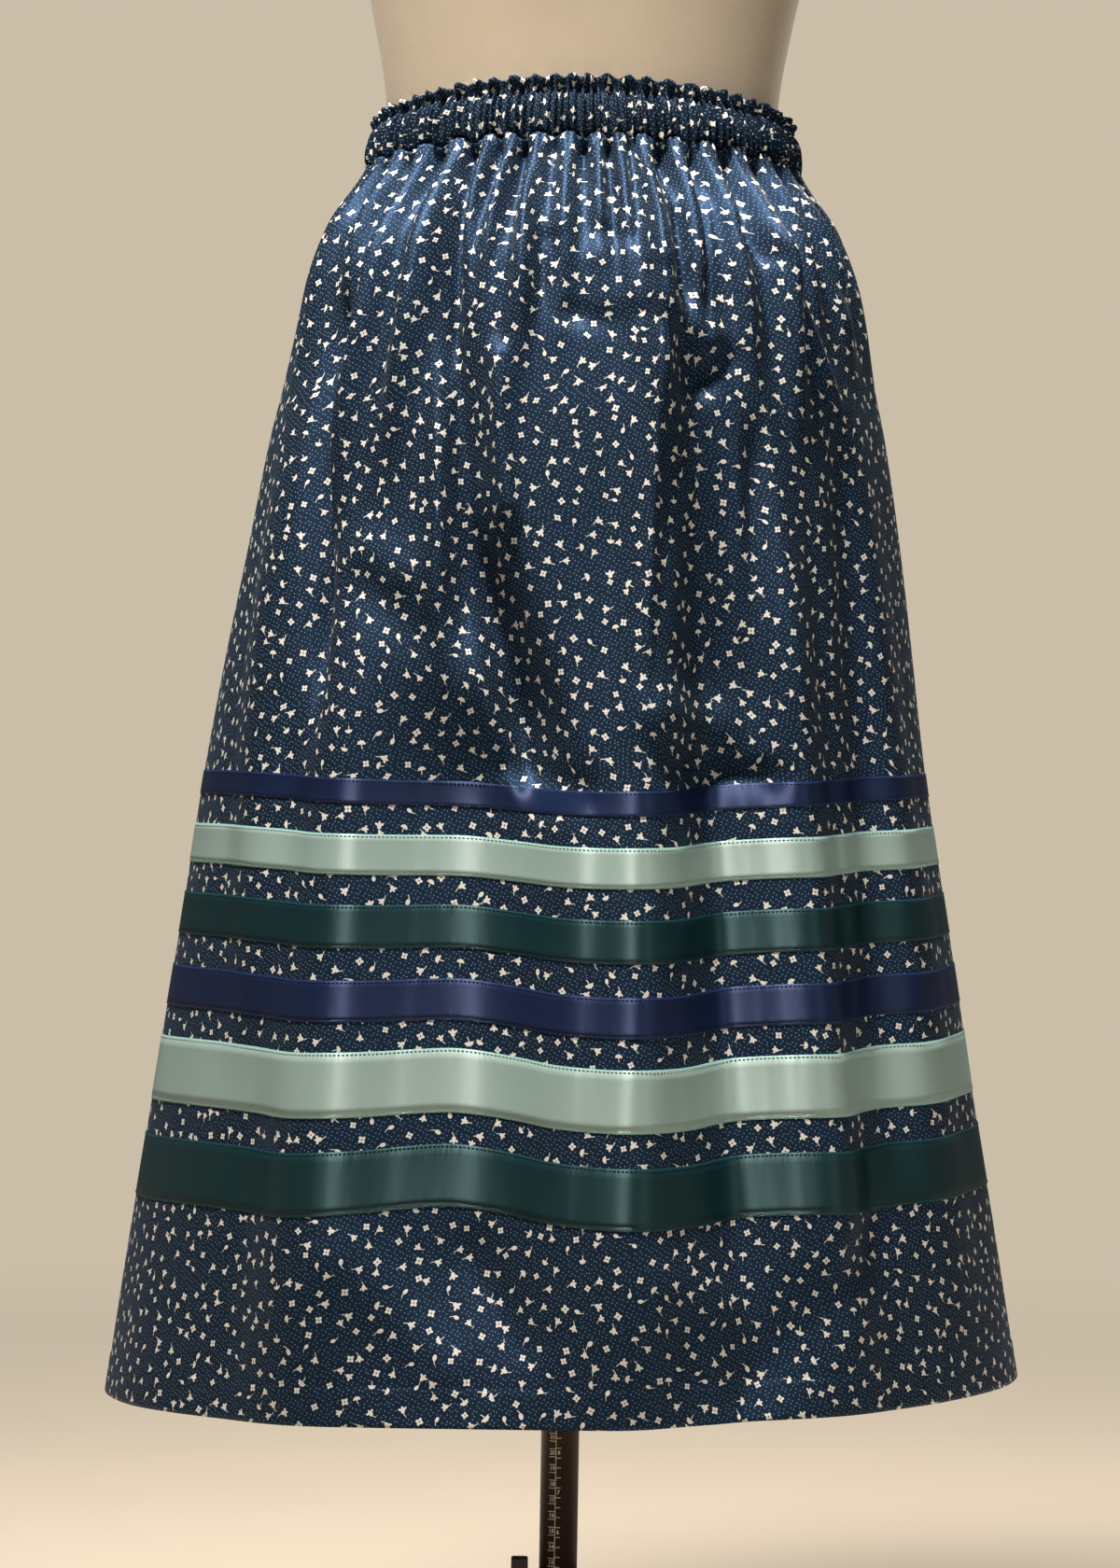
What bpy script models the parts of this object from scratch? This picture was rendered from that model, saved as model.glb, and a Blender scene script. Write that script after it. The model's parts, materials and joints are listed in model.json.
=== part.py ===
"""A gathered ribbon skirt on a plain dress form that stands on a scaled pole.

The skirt is cotton: a front and a back panel, gathered into an elasticated
casing with a small ruffle above it, and six satin ribbons sewn round the lower
part. Every cloth piece is a thin wall between an outer and an inner grid of
points, and both grids come from one surface, skirt_point().

Frame: the floor is z = 0, the pole stands on the origin, the front faces -Y
and the wearer's left side is +X. A turn of 0 degrees is the front, 90 is +X.
Sizes in the tables are millimetres; the meshes are in metres.
"""
import math
from collections import namedtuple

import bmesh
import bpy

MM = 0.001

# Cloth
PANEL_WALL = 2.0
RIBBON_WALL = 1.0
SEAM_GAP = 0.36
RIBBON_LIFT = 0.4

# Columns of points round each wall
FINE_COLUMNS = 144
PLAIN_COLUMNS = 72
FORM_COLUMNS = 48
CASING_RIBS = 96
HEADER_WAVES = 48

# Waist casing: depths of its ribs and of the ruffle above its stitch line
CASING_SEAM = 1020.0
RIB_DEPTH = 3.0
HEADER_SWING = 2.2
HEADER_LIFT = 1.2

# Dress form and stand
WAIST_CLEARANCE = 0.5
POLE_RADIUS = 12.2
PIECE_GAP = 0.3
ROUND_SIDES = 24
FLANGE_RADIUS = 45.0
FLANGE_THICKNESS = 6.0
HUB_BOTTOM = 42.0
HUB_TOP = 122.0
HUB_RADIUS = 32.0
HUB_SHOULDER = 84.0
COLLAR_RADIUS = 19.0
COLLAR_FOOT = 96.0
POLE_FOOT = 50.0
LEG_COUNT = 4
LEG_REACH = 305.0
LEG_THICKNESS = 22.0
LEG_FOOT_LENGTH = 34.0
LEG_FOOT_HEIGHT = 19.0
LEG_ROOT_LOW = 46.0
LEG_ROOT_HIGH = 78.0
LEG_TOE_HEIGHT = 12.0
LEG_TOE_CHAMFER = 5.0
LEVER_WIDTH = 10.8
LEVER_DEPTH = 9.0
LEVER_BOTTOM = 100.0
LEVER_TOP = 133.0

# Level sections of the skirt's outside, top to hem. "rise" is how much higher the
# section runs at the front than at the sides, "focus" how closely that rise keeps
# to the centre front, "hike" how much higher the +X side hangs, and "sway" how far
# the whole section has swung towards +X.
Section = namedtuple("Section", "height half_width front back rise focus hike sway")
SECTIONS = (
    Section(1051.0, 132.5, 104.5, 100.0, 18.0, 2.0, 0.0, 1.5),
    Section(1036.0, 135.0, 106.0, 101.5, 14.0, 2.0, 0.0, 1.5),
    Section(1020.0, 138.0, 109.0, 104.0, 12.0, 2.0, 0.0, 1.5),
    Section(1006.0, 145.0, 116.0, 112.0, 11.0, 2.0, 0.0, 1.5),
    Section(994.0, 151.5, 122.5, 119.5, 10.0, 2.0, 0.0, 1.5),
    Section(976.0, 160.5, 131.5, 130.0, 8.0, 2.2, 0.0, 1.5),
    Section(950.0, 170.5, 142.0, 142.0, 6.0, 2.6, 0.2, 1.8),
    Section(922.0, 178.5, 149.5, 151.5, 4.0, 3.0, 0.4, 2.0),
    Section(886.0, 188.0, 157.0, 162.5, 1.0, 4.0, 0.7, 1.0),
    Section(850.0, 196.5, 163.5, 171.0, -2.0, 5.0, 1.0, 0.0),
    Section(779.0, 208.5, 171.0, 182.0, -6.0, 6.0, 1.6, -1.0),
    Section(707.0, 220.5, 178.0, 191.0, -10.0, 7.0, 2.2, -2.6),
    Section(637.0, 231.0, 185.5, 199.0, -12.0, 8.0, 2.6, -3.2),
    Section(560.0, 242.5, 196.0, 208.0, -12.2, 8.0, 3.4, -2.4),
    Section(491.0, 253.0, 205.0, 216.0, -11.8, 8.0, 4.8, -2.2),
    Section(411.0, 265.0, 215.0, 223.0, -8.5, 8.0, 7.4, -2.2),
    Section(330.0, 278.0, 224.0, 230.0, -4.0, 8.0, 8.6, -1.5),
    Section(247.5, 291.5, 232.0, 236.0, -1.0, 8.0, 9.0, -0.6),
)

# Rows of each panel, as heights at the side seam: close under the casing, where
# the gathers are, then wider apart. The ribbons' edges follow as rows of their own.
FINE_ROWS = (1011.0, 1000.0, 984.0, 962.0, 930.0)
PLAIN_ROWS = (886.0, 835.0, 770.0, 700.0)
LOW_ROW = 310.0
HEM = 247.5

Ribbon = namedtuple("Ribbon", "name top bottom colour")
NAVY = (0.014, 0.023, 0.080)
MINT = (0.420, 0.560, 0.450)
GREEN = (0.006, 0.036, 0.044)
RIBBONS = (
    Ribbon("ribbon_1", 637.0, 622.0, NAVY),
    Ribbon("ribbon_2", 603.5, 579.0, MINT),
    Ribbon("ribbon_3", 560.5, 534.5, GREEN),
    Ribbon("ribbon_4", 515.0, 490.0, NAVY),
    Ribbon("ribbon_5", 471.5, 432.0, MINT),
    Ribbon("ribbon_6", 411.0, 372.0, GREEN),
)

# Gathers that leave the casing over the front half: where each ridge stands, how
# far it stands out, its half spread in degrees, and the height where it has gone.
Gather = namedtuple("Gather", "turn out spread end")
GATHERS = (
    Gather(-82.0, 4.5, 6.5, 860.0),
    Gather(-69.0, 7.0, 6.0, 870.0),
    Gather(-57.0, 8.5, 6.0, 840.0),
    Gather(-44.0, 11.0, 6.5, 870.0),
    Gather(-33.5, 7.0, 4.5, 900.0),
    Gather(-23.5, 9.0, 5.0, 840.0),
    Gather(-12.5, 11.0, 5.5, 830.0),
    Gather(-3.0, 8.0, 4.5, 880.0),
    Gather(4.5, 7.0, 4.0, 920.0),
    Gather(12.0, 11.0, 5.0, 800.0),
    Gather(23.5, 9.0, 5.5, 860.0),
    Gather(36.0, 9.5, 6.0, 840.0),
    Gather(50.0, 11.0, 7.0, 880.0),
    Gather(64.0, 7.0, 6.5, 870.0),
    Gather(78.0, 5.5, 7.0, 850.0),
)

# Long folds over the front half. Each runs from one turn at its top to another at
# its end; "out" is negative in a valley. "lean" makes the -X flank wider and the
# +X flank steeper, or the other way round below zero. It grows from "top" to
# "full" and fades from "low" to "end".
Fold = namedtuple("Fold", "turn to out spread lean top full low end")
FOLDS = (
    Fold(-60.0, -38.0, -8.0, 7.0, 0.0, 960.0, 880.0, 740.0, 640.0),
    Fold(-66.0, -35.0, 7.0, 12.0, 0.0, 940.0, 760.0, 330.0, 170.0),
    Fold(-31.0, -22.0, -8.0, 4.5, 0.0, 1030.0, 990.0, 900.0, 820.0),
    Fold(-21.0, -3.0, -15.0, 10.0, -0.3, 940.0, 830.0, 690.0, 590.0),
    Fold(-4.0, -3.0, -8.0, 11.0, 0.0, 690.0, 600.0, 330.0, 170.0),
    Fold(-24.0, -13.0, 9.0, 8.0, 0.3, 800.0, 690.0, 350.0, 170.0),
    Fold(-33.0, -24.0, -8.0, 8.0, 0.0, 760.0, 690.0, 380.0, 200.0),
    Fold(13.5, 9.0, 8.0, 9.0, 0.35, 1010.0, 930.0, 330.0, 170.0),
    Fold(22.0, 19.0, -8.0, 9.0, -0.2, 900.0, 700.0, 380.0, 200.0),
    Fold(40.0, 29.0, 7.0, 11.0, 0.0, 850.0, 700.0, 350.0, 170.0),
    Fold(57.0, 46.0, -7.0, 9.0, 0.0, 880.0, 790.0, 560.0, 330.0),
    Fold(62.0, 60.0, 5.0, 12.0, 0.0, 860.0, 700.0, 420.0, 200.0),
)

# A gather starts inside the casing, is full just under it and then fades out.
GATHER_ABOVE = 14.0
GATHER_BELOW = 16.0
GATHER_HOLD = 0.6

# The hidden half repeats both tables, mirrored and a little shallower.
BACK_TURN = 183.0
BACK_SHARE = 0.85

# Sections of the dress form, underside to neck
FormSection = namedtuple("FormSection", "height half_width front back")
FORM_SECTIONS = (
    FormSection(800.0, 148.0, 98.0, 104.0),
    FormSection(810.0, 160.0, 108.0, 114.0),
    FormSection(845.0, 170.0, 116.0, 122.0),
    FormSection(900.0, 165.0, 115.0, 118.0),
    FormSection(960.0, 149.0, 109.0, 106.0),
    FormSection(1005.0, 131.0, 101.0, 96.0),
    FormSection(1030.0, 126.0, 98.0, 93.0),
    FormSection(1050.0, 125.0, 97.2, 92.4),
    FormSection(1075.0, 126.8, 98.4, 93.4),
    FormSection(1110.0, 133.0, 103.0, 96.5),
    FormSection(1165.0, 144.0, 116.0, 102.0),
    FormSection(1225.0, 150.0, 129.0, 106.0),
    FormSection(1275.0, 149.0, 119.0, 108.0),
    FormSection(1330.0, 150.0, 98.0, 107.0),
    FormSection(1380.0, 164.0, 80.0, 98.0),
    FormSection(1408.0, 168.0, 68.0, 86.0),
    FormSection(1432.0, 140.0, 58.0, 74.0),
    FormSection(1452.0, 92.0, 52.0, 64.0),
    FormSection(1470.0, 60.0, 49.0, 56.0),
    FormSection(1520.0, 54.0, 48.0, 52.0),
)


def smooth(value):
    """0 to 1 with flat ends."""
    value = min(max(value, 0.0), 1.0)
    return value * value * (3.0 - 2.0 * value)


def section_at(height):
    """The skirt's section at a height, on a smooth curve through the table."""
    index = 0
    while index < len(SECTIONS) - 2 and SECTIONS[index + 1].height > height:
        index += 1
    upper = SECTIONS[index]
    lower = SECTIONS[index + 1]
    before = SECTIONS[max(index - 1, 0)]
    after = SECTIONS[min(index + 2, len(SECTIONS) - 1)]
    span = upper.height - lower.height
    share = (upper.height - height) / span
    values = []
    for name in Section._fields:
        start = getattr(upper, name)
        stop = getattr(lower, name)
        slope_in = (stop - getattr(before, name)) / (before.height - lower.height) * span
        slope_out = (getattr(after, name) - start) / (upper.height - after.height) * span
        values.append(
            start * (1.0 + share * share * (2.0 * share - 3.0))
            + stop * share * share * (3.0 - 2.0 * share)
            + slope_in * share * (share - 1.0) ** 2
            + slope_out * share * share * (share - 1.0)
        )
    return Section(*values)


def both_halves():
    """All gathers and folds as Fold rows: the front's own and the back's copies."""
    rows = []
    for gather in GATHERS:
        fade = gather.end + GATHER_HOLD * (CASING_SEAM - gather.end)
        rows.append(Fold(
            gather.turn, gather.turn, gather.out, gather.spread, 0.0,
            CASING_SEAM + GATHER_ABOVE, CASING_SEAM - GATHER_BELOW, fade, gather.end,
        ))
    rows.extend(FOLDS)
    for row in list(rows):
        rows.append(row._replace(
            turn=BACK_TURN - row.turn,
            to=BACK_TURN - row.to,
            out=row.out * BACK_SHARE,
            lean=-row.lean,
        ))
    return rows


ALL_FOLDS = both_halves()


def fold_depth(turn, height):
    """How far the cloth stands out of its plain section, in millimetres."""
    total = 0.0
    for fold in ALL_FOLDS:
        if not fold.end < height < fold.top:
            continue
        centre = fold.turn + (fold.to - fold.turn) * (fold.top - height) / (fold.top - fold.end)
        away = (turn - centre + 180.0) % 360.0 - 180.0
        side = 1.0 - fold.lean if away > 0.0 else 1.0 + fold.lean
        reach = abs(away) / (fold.spread * side)
        if reach >= 1.0:
            continue
        grown = smooth((fold.top - height) / (fold.top - fold.full))
        left = smooth((height - fold.end) / (fold.low - fold.end))
        total += fold.out * grown * left * 0.5 * (1.0 + math.cos(math.pi * reach))
    return total


def ellipse_point(half_width, front, back, turn, outward):
    """A point of a level section, moved out along the section's normal."""
    angle = math.radians(turn)
    depth = front if math.cos(angle) > 0.0 else back
    across = math.sin(angle)
    ahead = math.cos(angle)
    length = math.hypot(depth * across, half_width * ahead)
    x = half_width * across + outward * depth * across / length
    y = -depth * ahead - outward * half_width * ahead / length
    return x, y


def level(turn, section):
    """The height of a section at a turn, with its rise and its hike."""
    angle = math.radians(turn)
    at_side = 0.5 ** section.focus
    weight = (((1.0 + math.cos(angle)) * 0.5) ** section.focus - at_side) / (1.0 - at_side)
    return section.height + section.rise * weight + section.hike * math.sin(angle)


def skirt_point(turn, height, outward):
    """A point of the folded skirt, in metres, moved out by some millimetres."""
    section = section_at(height)
    out = fold_depth(turn, height) + outward
    x, y = ellipse_point(section.half_width, section.front, section.back, turn, out)
    return (x + section.sway) * MM, y * MM, level(turn, section) * MM


def form_at(height):
    """The dress form's section at a height, straight between its rings."""
    above = next(i for i, section in enumerate(FORM_SECTIONS) if section.height >= height)
    lower = FORM_SECTIONS[above - 1]
    upper = FORM_SECTIONS[above]
    share = (height - lower.height) / (upper.height - lower.height)
    values = [a + (b - a) * share for a, b in zip(lower, upper)]
    return FormSection(*values)


def turns(columns, start=0.0, sweep=360.0):
    """Evenly spaced turns, with the last one where the sweep ends."""
    return [start + sweep * index / columns for index in range(columns + 1)]


def new_object(name, data, material):
    """Put a mesh or a curve in the skirt's collection under its name."""
    item = bpy.data.objects.new(name, data)
    COLLECTION.objects.link(item)
    data.materials.append(material)
    return item


def finish_mesh(mesh, name, material, crease=60.0):
    """Turn a filled bmesh into a smooth-shaded object with its faces out."""
    bmesh.ops.recalc_face_normals(mesh, faces=mesh.faces)
    data = bpy.data.meshes.new(name)
    mesh.to_mesh(data)
    mesh.free()
    data.shade_smooth()
    data.set_sharp_from_angle(angle=math.radians(crease))
    return new_object(name, data, material)


def add_row(mesh, points, closed):
    """One row of vertices as (place from 0 to 1, vertex); a ring ends on its first."""
    count = len(points) - 1
    row = []
    for index, point in enumerate(points):
        if closed and index == count:
            row.append((1.0, row[0][1]))
        else:
            row.append((index / count, mesh.verts.new(point)))
    return row


def stitch(mesh, first, second):
    """Fill between two rows with triangles, whatever their counts."""
    i = 0
    j = 0
    while i < len(first) - 1 or j < len(second) - 1:
        next_first = first[i + 1][0] if i < len(first) - 1 else 2.0
        next_second = second[j + 1][0] if j < len(second) - 1 else 2.0
        if next_first <= next_second + 1e-9:
            mesh.faces.new((first[i][1], first[i + 1][1], second[j][1]))
            i += 1
        else:
            mesh.faces.new((first[i][1], second[j + 1][1], second[j][1]))
            j += 1


def side_row(rows, heights, index):
    """The vertices down one open side of a grid, placed by their heights."""
    top = heights[0]
    span = heights[0] - heights[-1]
    return [((top - height) / span, row[index][1]) for row, height in zip(rows, heights)]


def cloth_wall(name, outer, inner, closed, material, heights=None):
    """A wall of cloth between an outer and an inner grid of rows of points."""
    mesh = bmesh.new()
    outer_rows = [add_row(mesh, points, closed) for points in outer]
    inner_rows = [add_row(mesh, points, closed) for points in inner]
    for rows in (outer_rows, inner_rows):
        for upper, lower in zip(rows, rows[1:]):
            stitch(mesh, upper, lower)
    stitch(mesh, outer_rows[0], inner_rows[0])
    stitch(mesh, outer_rows[-1], inner_rows[-1])
    if not closed:
        for index in (0, -1):
            stitch(
                mesh,
                side_row(outer_rows, heights[0], index),
                side_row(inner_rows, heights[1], index),
            )
    return finish_mesh(mesh, name, material)


def panel(name, start, material):
    """Half of the skirt, from one side seam to the other."""
    ribbon_rows = [edge for ribbon in RIBBONS for edge in (ribbon.top, ribbon.bottom)]
    ribbon_tops = [ribbon.top for ribbon in RIBBONS]
    top = CASING_SEAM - SEAM_GAP
    outer_heights = [top, *FINE_ROWS, *PLAIN_ROWS, *ribbon_rows, LOW_ROW, HEM]
    inner_heights = [top, *FINE_ROWS, *PLAIN_ROWS, *ribbon_tops, LOW_ROW, HEM]

    def points(height, outward):
        fine = height >= FINE_ROWS[-1]
        columns = (FINE_COLUMNS if fine else PLAIN_COLUMNS) // 2
        row = [skirt_point(turn, height, outward) for turn in turns(columns, start, 180.0)]
        seam = SEAM_GAP * 0.5 * MM * (-1.0 if start < 0.0 else 1.0)
        for end in (0, -1):
            row[end] = (row[end][0], seam, row[end][2])
        return row

    outer = [points(height, 0.0) for height in outer_heights]
    inner = [points(height, -PANEL_WALL) for height in inner_heights]
    return cloth_wall(name, outer, inner, False, material, (outer_heights, inner_heights))


def ribbon_band(ribbon, material):
    """A ribbon round the skirt: the panels' own points, moved out."""

    def points(height, outward):
        return [skirt_point(turn, height, outward) for turn in turns(PLAIN_COLUMNS, -90.0)]

    edges = (ribbon.top, ribbon.bottom)
    outer = [points(height, RIBBON_LIFT + RIBBON_WALL) for height in edges]
    inner = [points(height, RIBBON_LIFT) for height in edges]
    return cloth_wall(ribbon.name, outer, inner, True, material)


# Rows of the casing: height at the side, how far it swells out of the skirt's
# section, and the share of the ribs and of the header's waves that it carries.
CasingRow = namedtuple("CasingRow", "height swell ribs waves")
CASING_ROWS = (
    CasingRow(1051.0, -1.0, 0.0, 1.0),
    CasingRow(1044.5, -3.2, 0.7, 0.35),
    CasingRow(1041.0, -1.6, 1.0, 0.0),
    CasingRow(1031.0, 0.0, 1.0, 0.0),
    CasingRow(1022.5, -1.0, 1.0, 0.0),
    CasingRow(1020.0, -2.4, 0.8, 0.0),
)


def waist_casing(material):
    """The elasticated casing: ribs and a wavy header over a plain inside."""
    outer = []
    inner = []
    for row in CASING_ROWS:
        section = section_at(row.height)
        points = []
        for index, turn in enumerate(turns(2 * CASING_RIBS)):
            rib = RIB_DEPTH * row.ribs * (0.5 if index % 2 else -0.5)
            wave = math.cos(math.radians(HEADER_WAVES * turn))
            out = row.swell + rib + HEADER_SWING * row.waves * wave
            x, y = ellipse_point(section.half_width, section.front, section.back, turn, out)
            lift = HEADER_LIFT * row.waves * math.sin(math.radians(HEADER_WAVES * turn))
            height = level(turn, section) + lift
            points.append(((x + section.sway) * MM, y * MM, height * MM))
        outer.append(points)
    for row in (CASING_ROWS[0], CASING_ROWS[2], CASING_ROWS[-1]):
        section = section_at(row.height)
        points = []
        for turn in turns(FORM_COLUMNS):
            height = level(turn, section)
            form = form_at(height)
            x, y = ellipse_point(form.half_width, form.front, form.back, turn, WAIST_CLEARANCE)
            points.append((x * MM, y * MM, height * MM))
        inner.append(points)
    return cloth_wall("waist_casing", outer, inner, True, material)


def form_torso(material):
    """The limbless form: rings from its flat underside to its flat neck."""
    mesh = bmesh.new()
    rings = []
    for section in FORM_SECTIONS:
        points = []
        for turn in turns(FORM_COLUMNS):
            x, y = ellipse_point(section.half_width, section.front, section.back, turn, 0.0)
            points.append((x * MM, y * MM, section.height * MM))
        rings.append(add_row(mesh, points, True))
    for lower, upper in zip(rings, rings[1:]):
        stitch(mesh, lower, upper)
    mesh.faces.new([vertex for place, vertex in rings[0][:-1]])
    mesh.faces.new([vertex for place, vertex in rings[-1][:-1]])
    return finish_mesh(mesh, "form_torso", material, 40.0)


def cylinder(name, radius, bottom, top, material):
    """An upright round piece on the pole's axis."""
    mesh = bmesh.new()
    bmesh.ops.create_cone(
        mesh, cap_ends=True, segments=ROUND_SIDES,
        radius1=radius * MM, radius2=radius * MM, depth=(top - bottom) * MM,
    )
    item = finish_mesh(mesh, name, material, 40.0)
    item.location.z = (bottom + top) * 0.5 * MM
    return item


def base_hub(material):
    """The turned sleeve that grips the pole's foot."""
    bore = POLE_RADIUS + PIECE_GAP
    profile = (
        (bore, HUB_TOP), (COLLAR_RADIUS, HUB_TOP), (COLLAR_RADIUS, COLLAR_FOOT),
        (HUB_RADIUS, HUB_SHOULDER), (HUB_RADIUS, HUB_BOTTOM), (bore, HUB_BOTTOM),
    )
    data = bpy.data.meshes.new("base_hub")
    points = [(radius * MM, 0.0, height * MM) for radius, height in profile]
    edges = [(index, (index + 1) % len(profile)) for index in range(len(profile))]
    data.from_pydata(points, edges, [])
    item = new_object("base_hub", data, material)
    screw = item.modifiers.new("turn", "SCREW")
    screw.steps = ROUND_SIDES
    screw.render_steps = ROUND_SIDES
    screw.use_merge_vertices = True
    screw.merge_threshold = 0.00001
    return item


def base_leg(number, material):
    """One flat leg, cut from bar, that rests on the floor near its tip."""
    root = HUB_RADIUS + PIECE_GAP
    heel = LEG_REACH - LEG_FOOT_LENGTH
    outline = (
        (root, LEG_ROOT_HIGH), (heel, LEG_FOOT_HEIGHT),
        (LEG_REACH - LEG_TOE_CHAMFER, LEG_TOE_HEIGHT),
        (LEG_REACH, LEG_TOE_HEIGHT - LEG_TOE_CHAMFER), (LEG_REACH, 0.0),
        (heel, 0.0), (root, LEG_ROOT_LOW),
    )
    data = bpy.data.curves.new(f"base_leg_{number}", "CURVE")
    data.dimensions = "2D"
    data.fill_mode = "BOTH"
    data.extrude = LEG_THICKNESS * 0.5 * MM
    spline = data.splines.new("POLY")
    spline.points.add(len(outline) - 1)
    for point, (reach, height) in zip(spline.points, outline):
        point.co = (reach * MM, height * MM, 0.0, 1.0)
    spline.use_cyclic_u = True
    item = new_object(f"base_leg_{number}", data, material)
    item.rotation_euler = (math.pi / 2.0, 0.0, 2.0 * math.pi * (number - 1) / LEG_COUNT)
    return item


def clamp_lever(material):
    """The small upright tab beside the collar."""
    bpy.ops.mesh.primitive_cube_add(size=1.0)
    item = bpy.context.object
    item.name = "clamp_lever"
    item.data.name = "clamp_lever"
    for collection in list(item.users_collection):
        collection.objects.unlink(item)
    COLLECTION.objects.link(item)
    height = LEVER_TOP - LEVER_BOTTOM
    item.scale = (LEVER_WIDTH * MM, LEVER_DEPTH * MM, height * MM)
    bpy.ops.object.transform_apply(location=False, rotation=False, scale=True)
    x = -(COLLAR_RADIUS + PIECE_GAP + LEVER_WIDTH * 0.5)
    item.location = (x * MM, 0.0, (LEVER_TOP + LEVER_BOTTOM) * 0.5 * MM)
    bevel = item.modifiers.new("soft edges", "BEVEL")
    bevel.width = 1.2 * MM
    bevel.segments = 2
    item.data.materials.append(material)
    return item


def principled(name, colour, roughness, metallic=0.0):
    """A plain material."""
    material = bpy.data.materials.new(name)
    material.use_nodes = True
    shader = material.node_tree.nodes["Principled BSDF"]
    shader.inputs["Base Color"].default_value = (*colour, 1.0)
    shader.inputs["Roughness"].default_value = roughness
    shader.inputs["Metallic"].default_value = metallic
    return material


for old in list(bpy.data.objects):
    bpy.data.objects.remove(old, do_unlink=True)

COLLECTION = bpy.data.collections.new("ribbon_skirt")
bpy.context.scene.collection.children.link(COLLECTION)

FLORAL = principled("floral cotton", (0.022, 0.045, 0.085), 0.75)
JERSEY = principled("form jersey", (0.62, 0.54, 0.42), 0.9)
POLE_PAINT = principled("pole paint", (0.030, 0.022, 0.018), 0.45)
BASE_PAINT = principled("base paint", (0.035, 0.030, 0.027), 0.5)

panel("skirt_front", -90.0, FLORAL)
panel("skirt_back", 90.0, FLORAL)
waist_casing(FLORAL)
for ribbon_row in RIBBONS:
    ribbon_band(ribbon_row, principled(ribbon_row.name + " satin", ribbon_row.colour, 0.3))

form_bottom = FORM_SECTIONS[0].height
flange_top = form_bottom - PIECE_GAP
flange_bottom = flange_top - FLANGE_THICKNESS
form_torso(JERSEY)
cylinder("form_flange", FLANGE_RADIUS, flange_bottom, flange_top, BASE_PAINT)
cylinder("pole", POLE_RADIUS, POLE_FOOT, flange_bottom - PIECE_GAP, POLE_PAINT)
base_hub(BASE_PAINT)
for leg_number in range(1, LEG_COUNT + 1):
    base_leg(leg_number, BASE_PAINT)
clamp_lever(BASE_PAINT)
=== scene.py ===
# %% [markdown]
# # A ribbon skirt on its dress form
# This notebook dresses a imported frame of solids. The object is a gathered cotton skirt with
# six satin ribbons, on a limbless form that stands on a scaled pole. The frame gives the
# sizes and places that every piece keeps to; the cells below make the cloth, the satin, the
# stitches and the paint.
# Front is -Y, the wearer's left is +X and the floor is z = 0. The camera, the lights and the
# floor are placed in metres, as Blender is. The object's tables and the sizes named beside
# them are in millimetres and degrees, and MM turns them into metres for the meshes.

import json
import math
from collections import namedtuple

import bmesh
import bpy
import numpy as np
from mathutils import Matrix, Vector

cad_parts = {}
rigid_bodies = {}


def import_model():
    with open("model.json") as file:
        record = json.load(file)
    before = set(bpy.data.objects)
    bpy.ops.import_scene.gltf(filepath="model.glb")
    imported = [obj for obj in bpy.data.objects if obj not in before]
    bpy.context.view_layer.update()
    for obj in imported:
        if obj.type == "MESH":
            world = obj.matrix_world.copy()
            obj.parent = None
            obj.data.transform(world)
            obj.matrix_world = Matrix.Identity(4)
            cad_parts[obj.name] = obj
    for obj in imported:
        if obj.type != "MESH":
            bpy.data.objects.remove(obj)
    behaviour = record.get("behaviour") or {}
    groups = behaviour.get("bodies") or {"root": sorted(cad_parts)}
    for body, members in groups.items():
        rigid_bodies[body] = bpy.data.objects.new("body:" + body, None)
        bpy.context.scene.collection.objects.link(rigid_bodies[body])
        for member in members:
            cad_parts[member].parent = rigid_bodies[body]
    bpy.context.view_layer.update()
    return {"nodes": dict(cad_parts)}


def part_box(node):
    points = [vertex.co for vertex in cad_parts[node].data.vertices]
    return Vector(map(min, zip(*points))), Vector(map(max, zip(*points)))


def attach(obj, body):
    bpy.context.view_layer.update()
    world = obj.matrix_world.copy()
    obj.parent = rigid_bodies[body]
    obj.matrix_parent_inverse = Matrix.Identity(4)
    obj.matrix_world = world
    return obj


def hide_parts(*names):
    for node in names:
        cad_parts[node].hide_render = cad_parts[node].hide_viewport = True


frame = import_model()
MM = 0.001
print("nodes:", sorted(frame["nodes"]))

# %% [markdown]
# ## Helpers
# Colours are written as the sRGB hex values that a paint chart would give, and one function
# turns them to linear light. One function adds a shader or geometry node with its settings
# and links, so a material reads as a list of what it is made of. No real finish is one flat
# colour, so one function lets a colour drift between two tones. One function makes a mesh
# into a piece of the object: its faces, its finish and the body it rides.

# %% Colour, node and piece helpers
def linear(hex_colour):
    """An sRGB hex colour as linear RGBA."""
    channels = [int(hex_colour[place:place + 2], 16) / 255 for place in (1, 3, 5)]
    return (*[c / 12.92 if c < 0.04045 else ((c + 0.055) / 1.055) ** 2.4 for c in channels], 1.0)


def fill(node, inputs):
    """Fill a node's inputs with numbers, hex colours or other nodes' sockets."""
    for key, value in inputs.items():
        value = getattr(value, "socket", value)
        if isinstance(value, bpy.types.NodeSocket):
            node.id_data.links.new(value, node.inputs[key])
        else:
            node.inputs[key].default_value = linear(value) if isinstance(value, str) else value


def add_node(tree, kind, inputs=None, **settings):
    """Add a node, set its properties and fill its inputs."""
    node = tree.nodes.new(kind)
    for name, value in settings.items():
        setattr(node, name, value)
    fill(node, inputs or {})
    return node


def new_material(name, cloth_map=False):
    """A material, its tree, its Principled shader, and the place that its patterns lie on."""
    material = bpy.data.materials.new(name)
    material.use_nodes = True
    tree = material.node_tree
    if cloth_map:
        place = add_node(tree, "ShaderNodeUVMap", uv_map="cloth").outputs["UV"]
    else:
        place = add_node(tree, "ShaderNodeTexCoord").outputs["Object"]
    return material, tree, tree.nodes["Principled BSDF"], place


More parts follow.
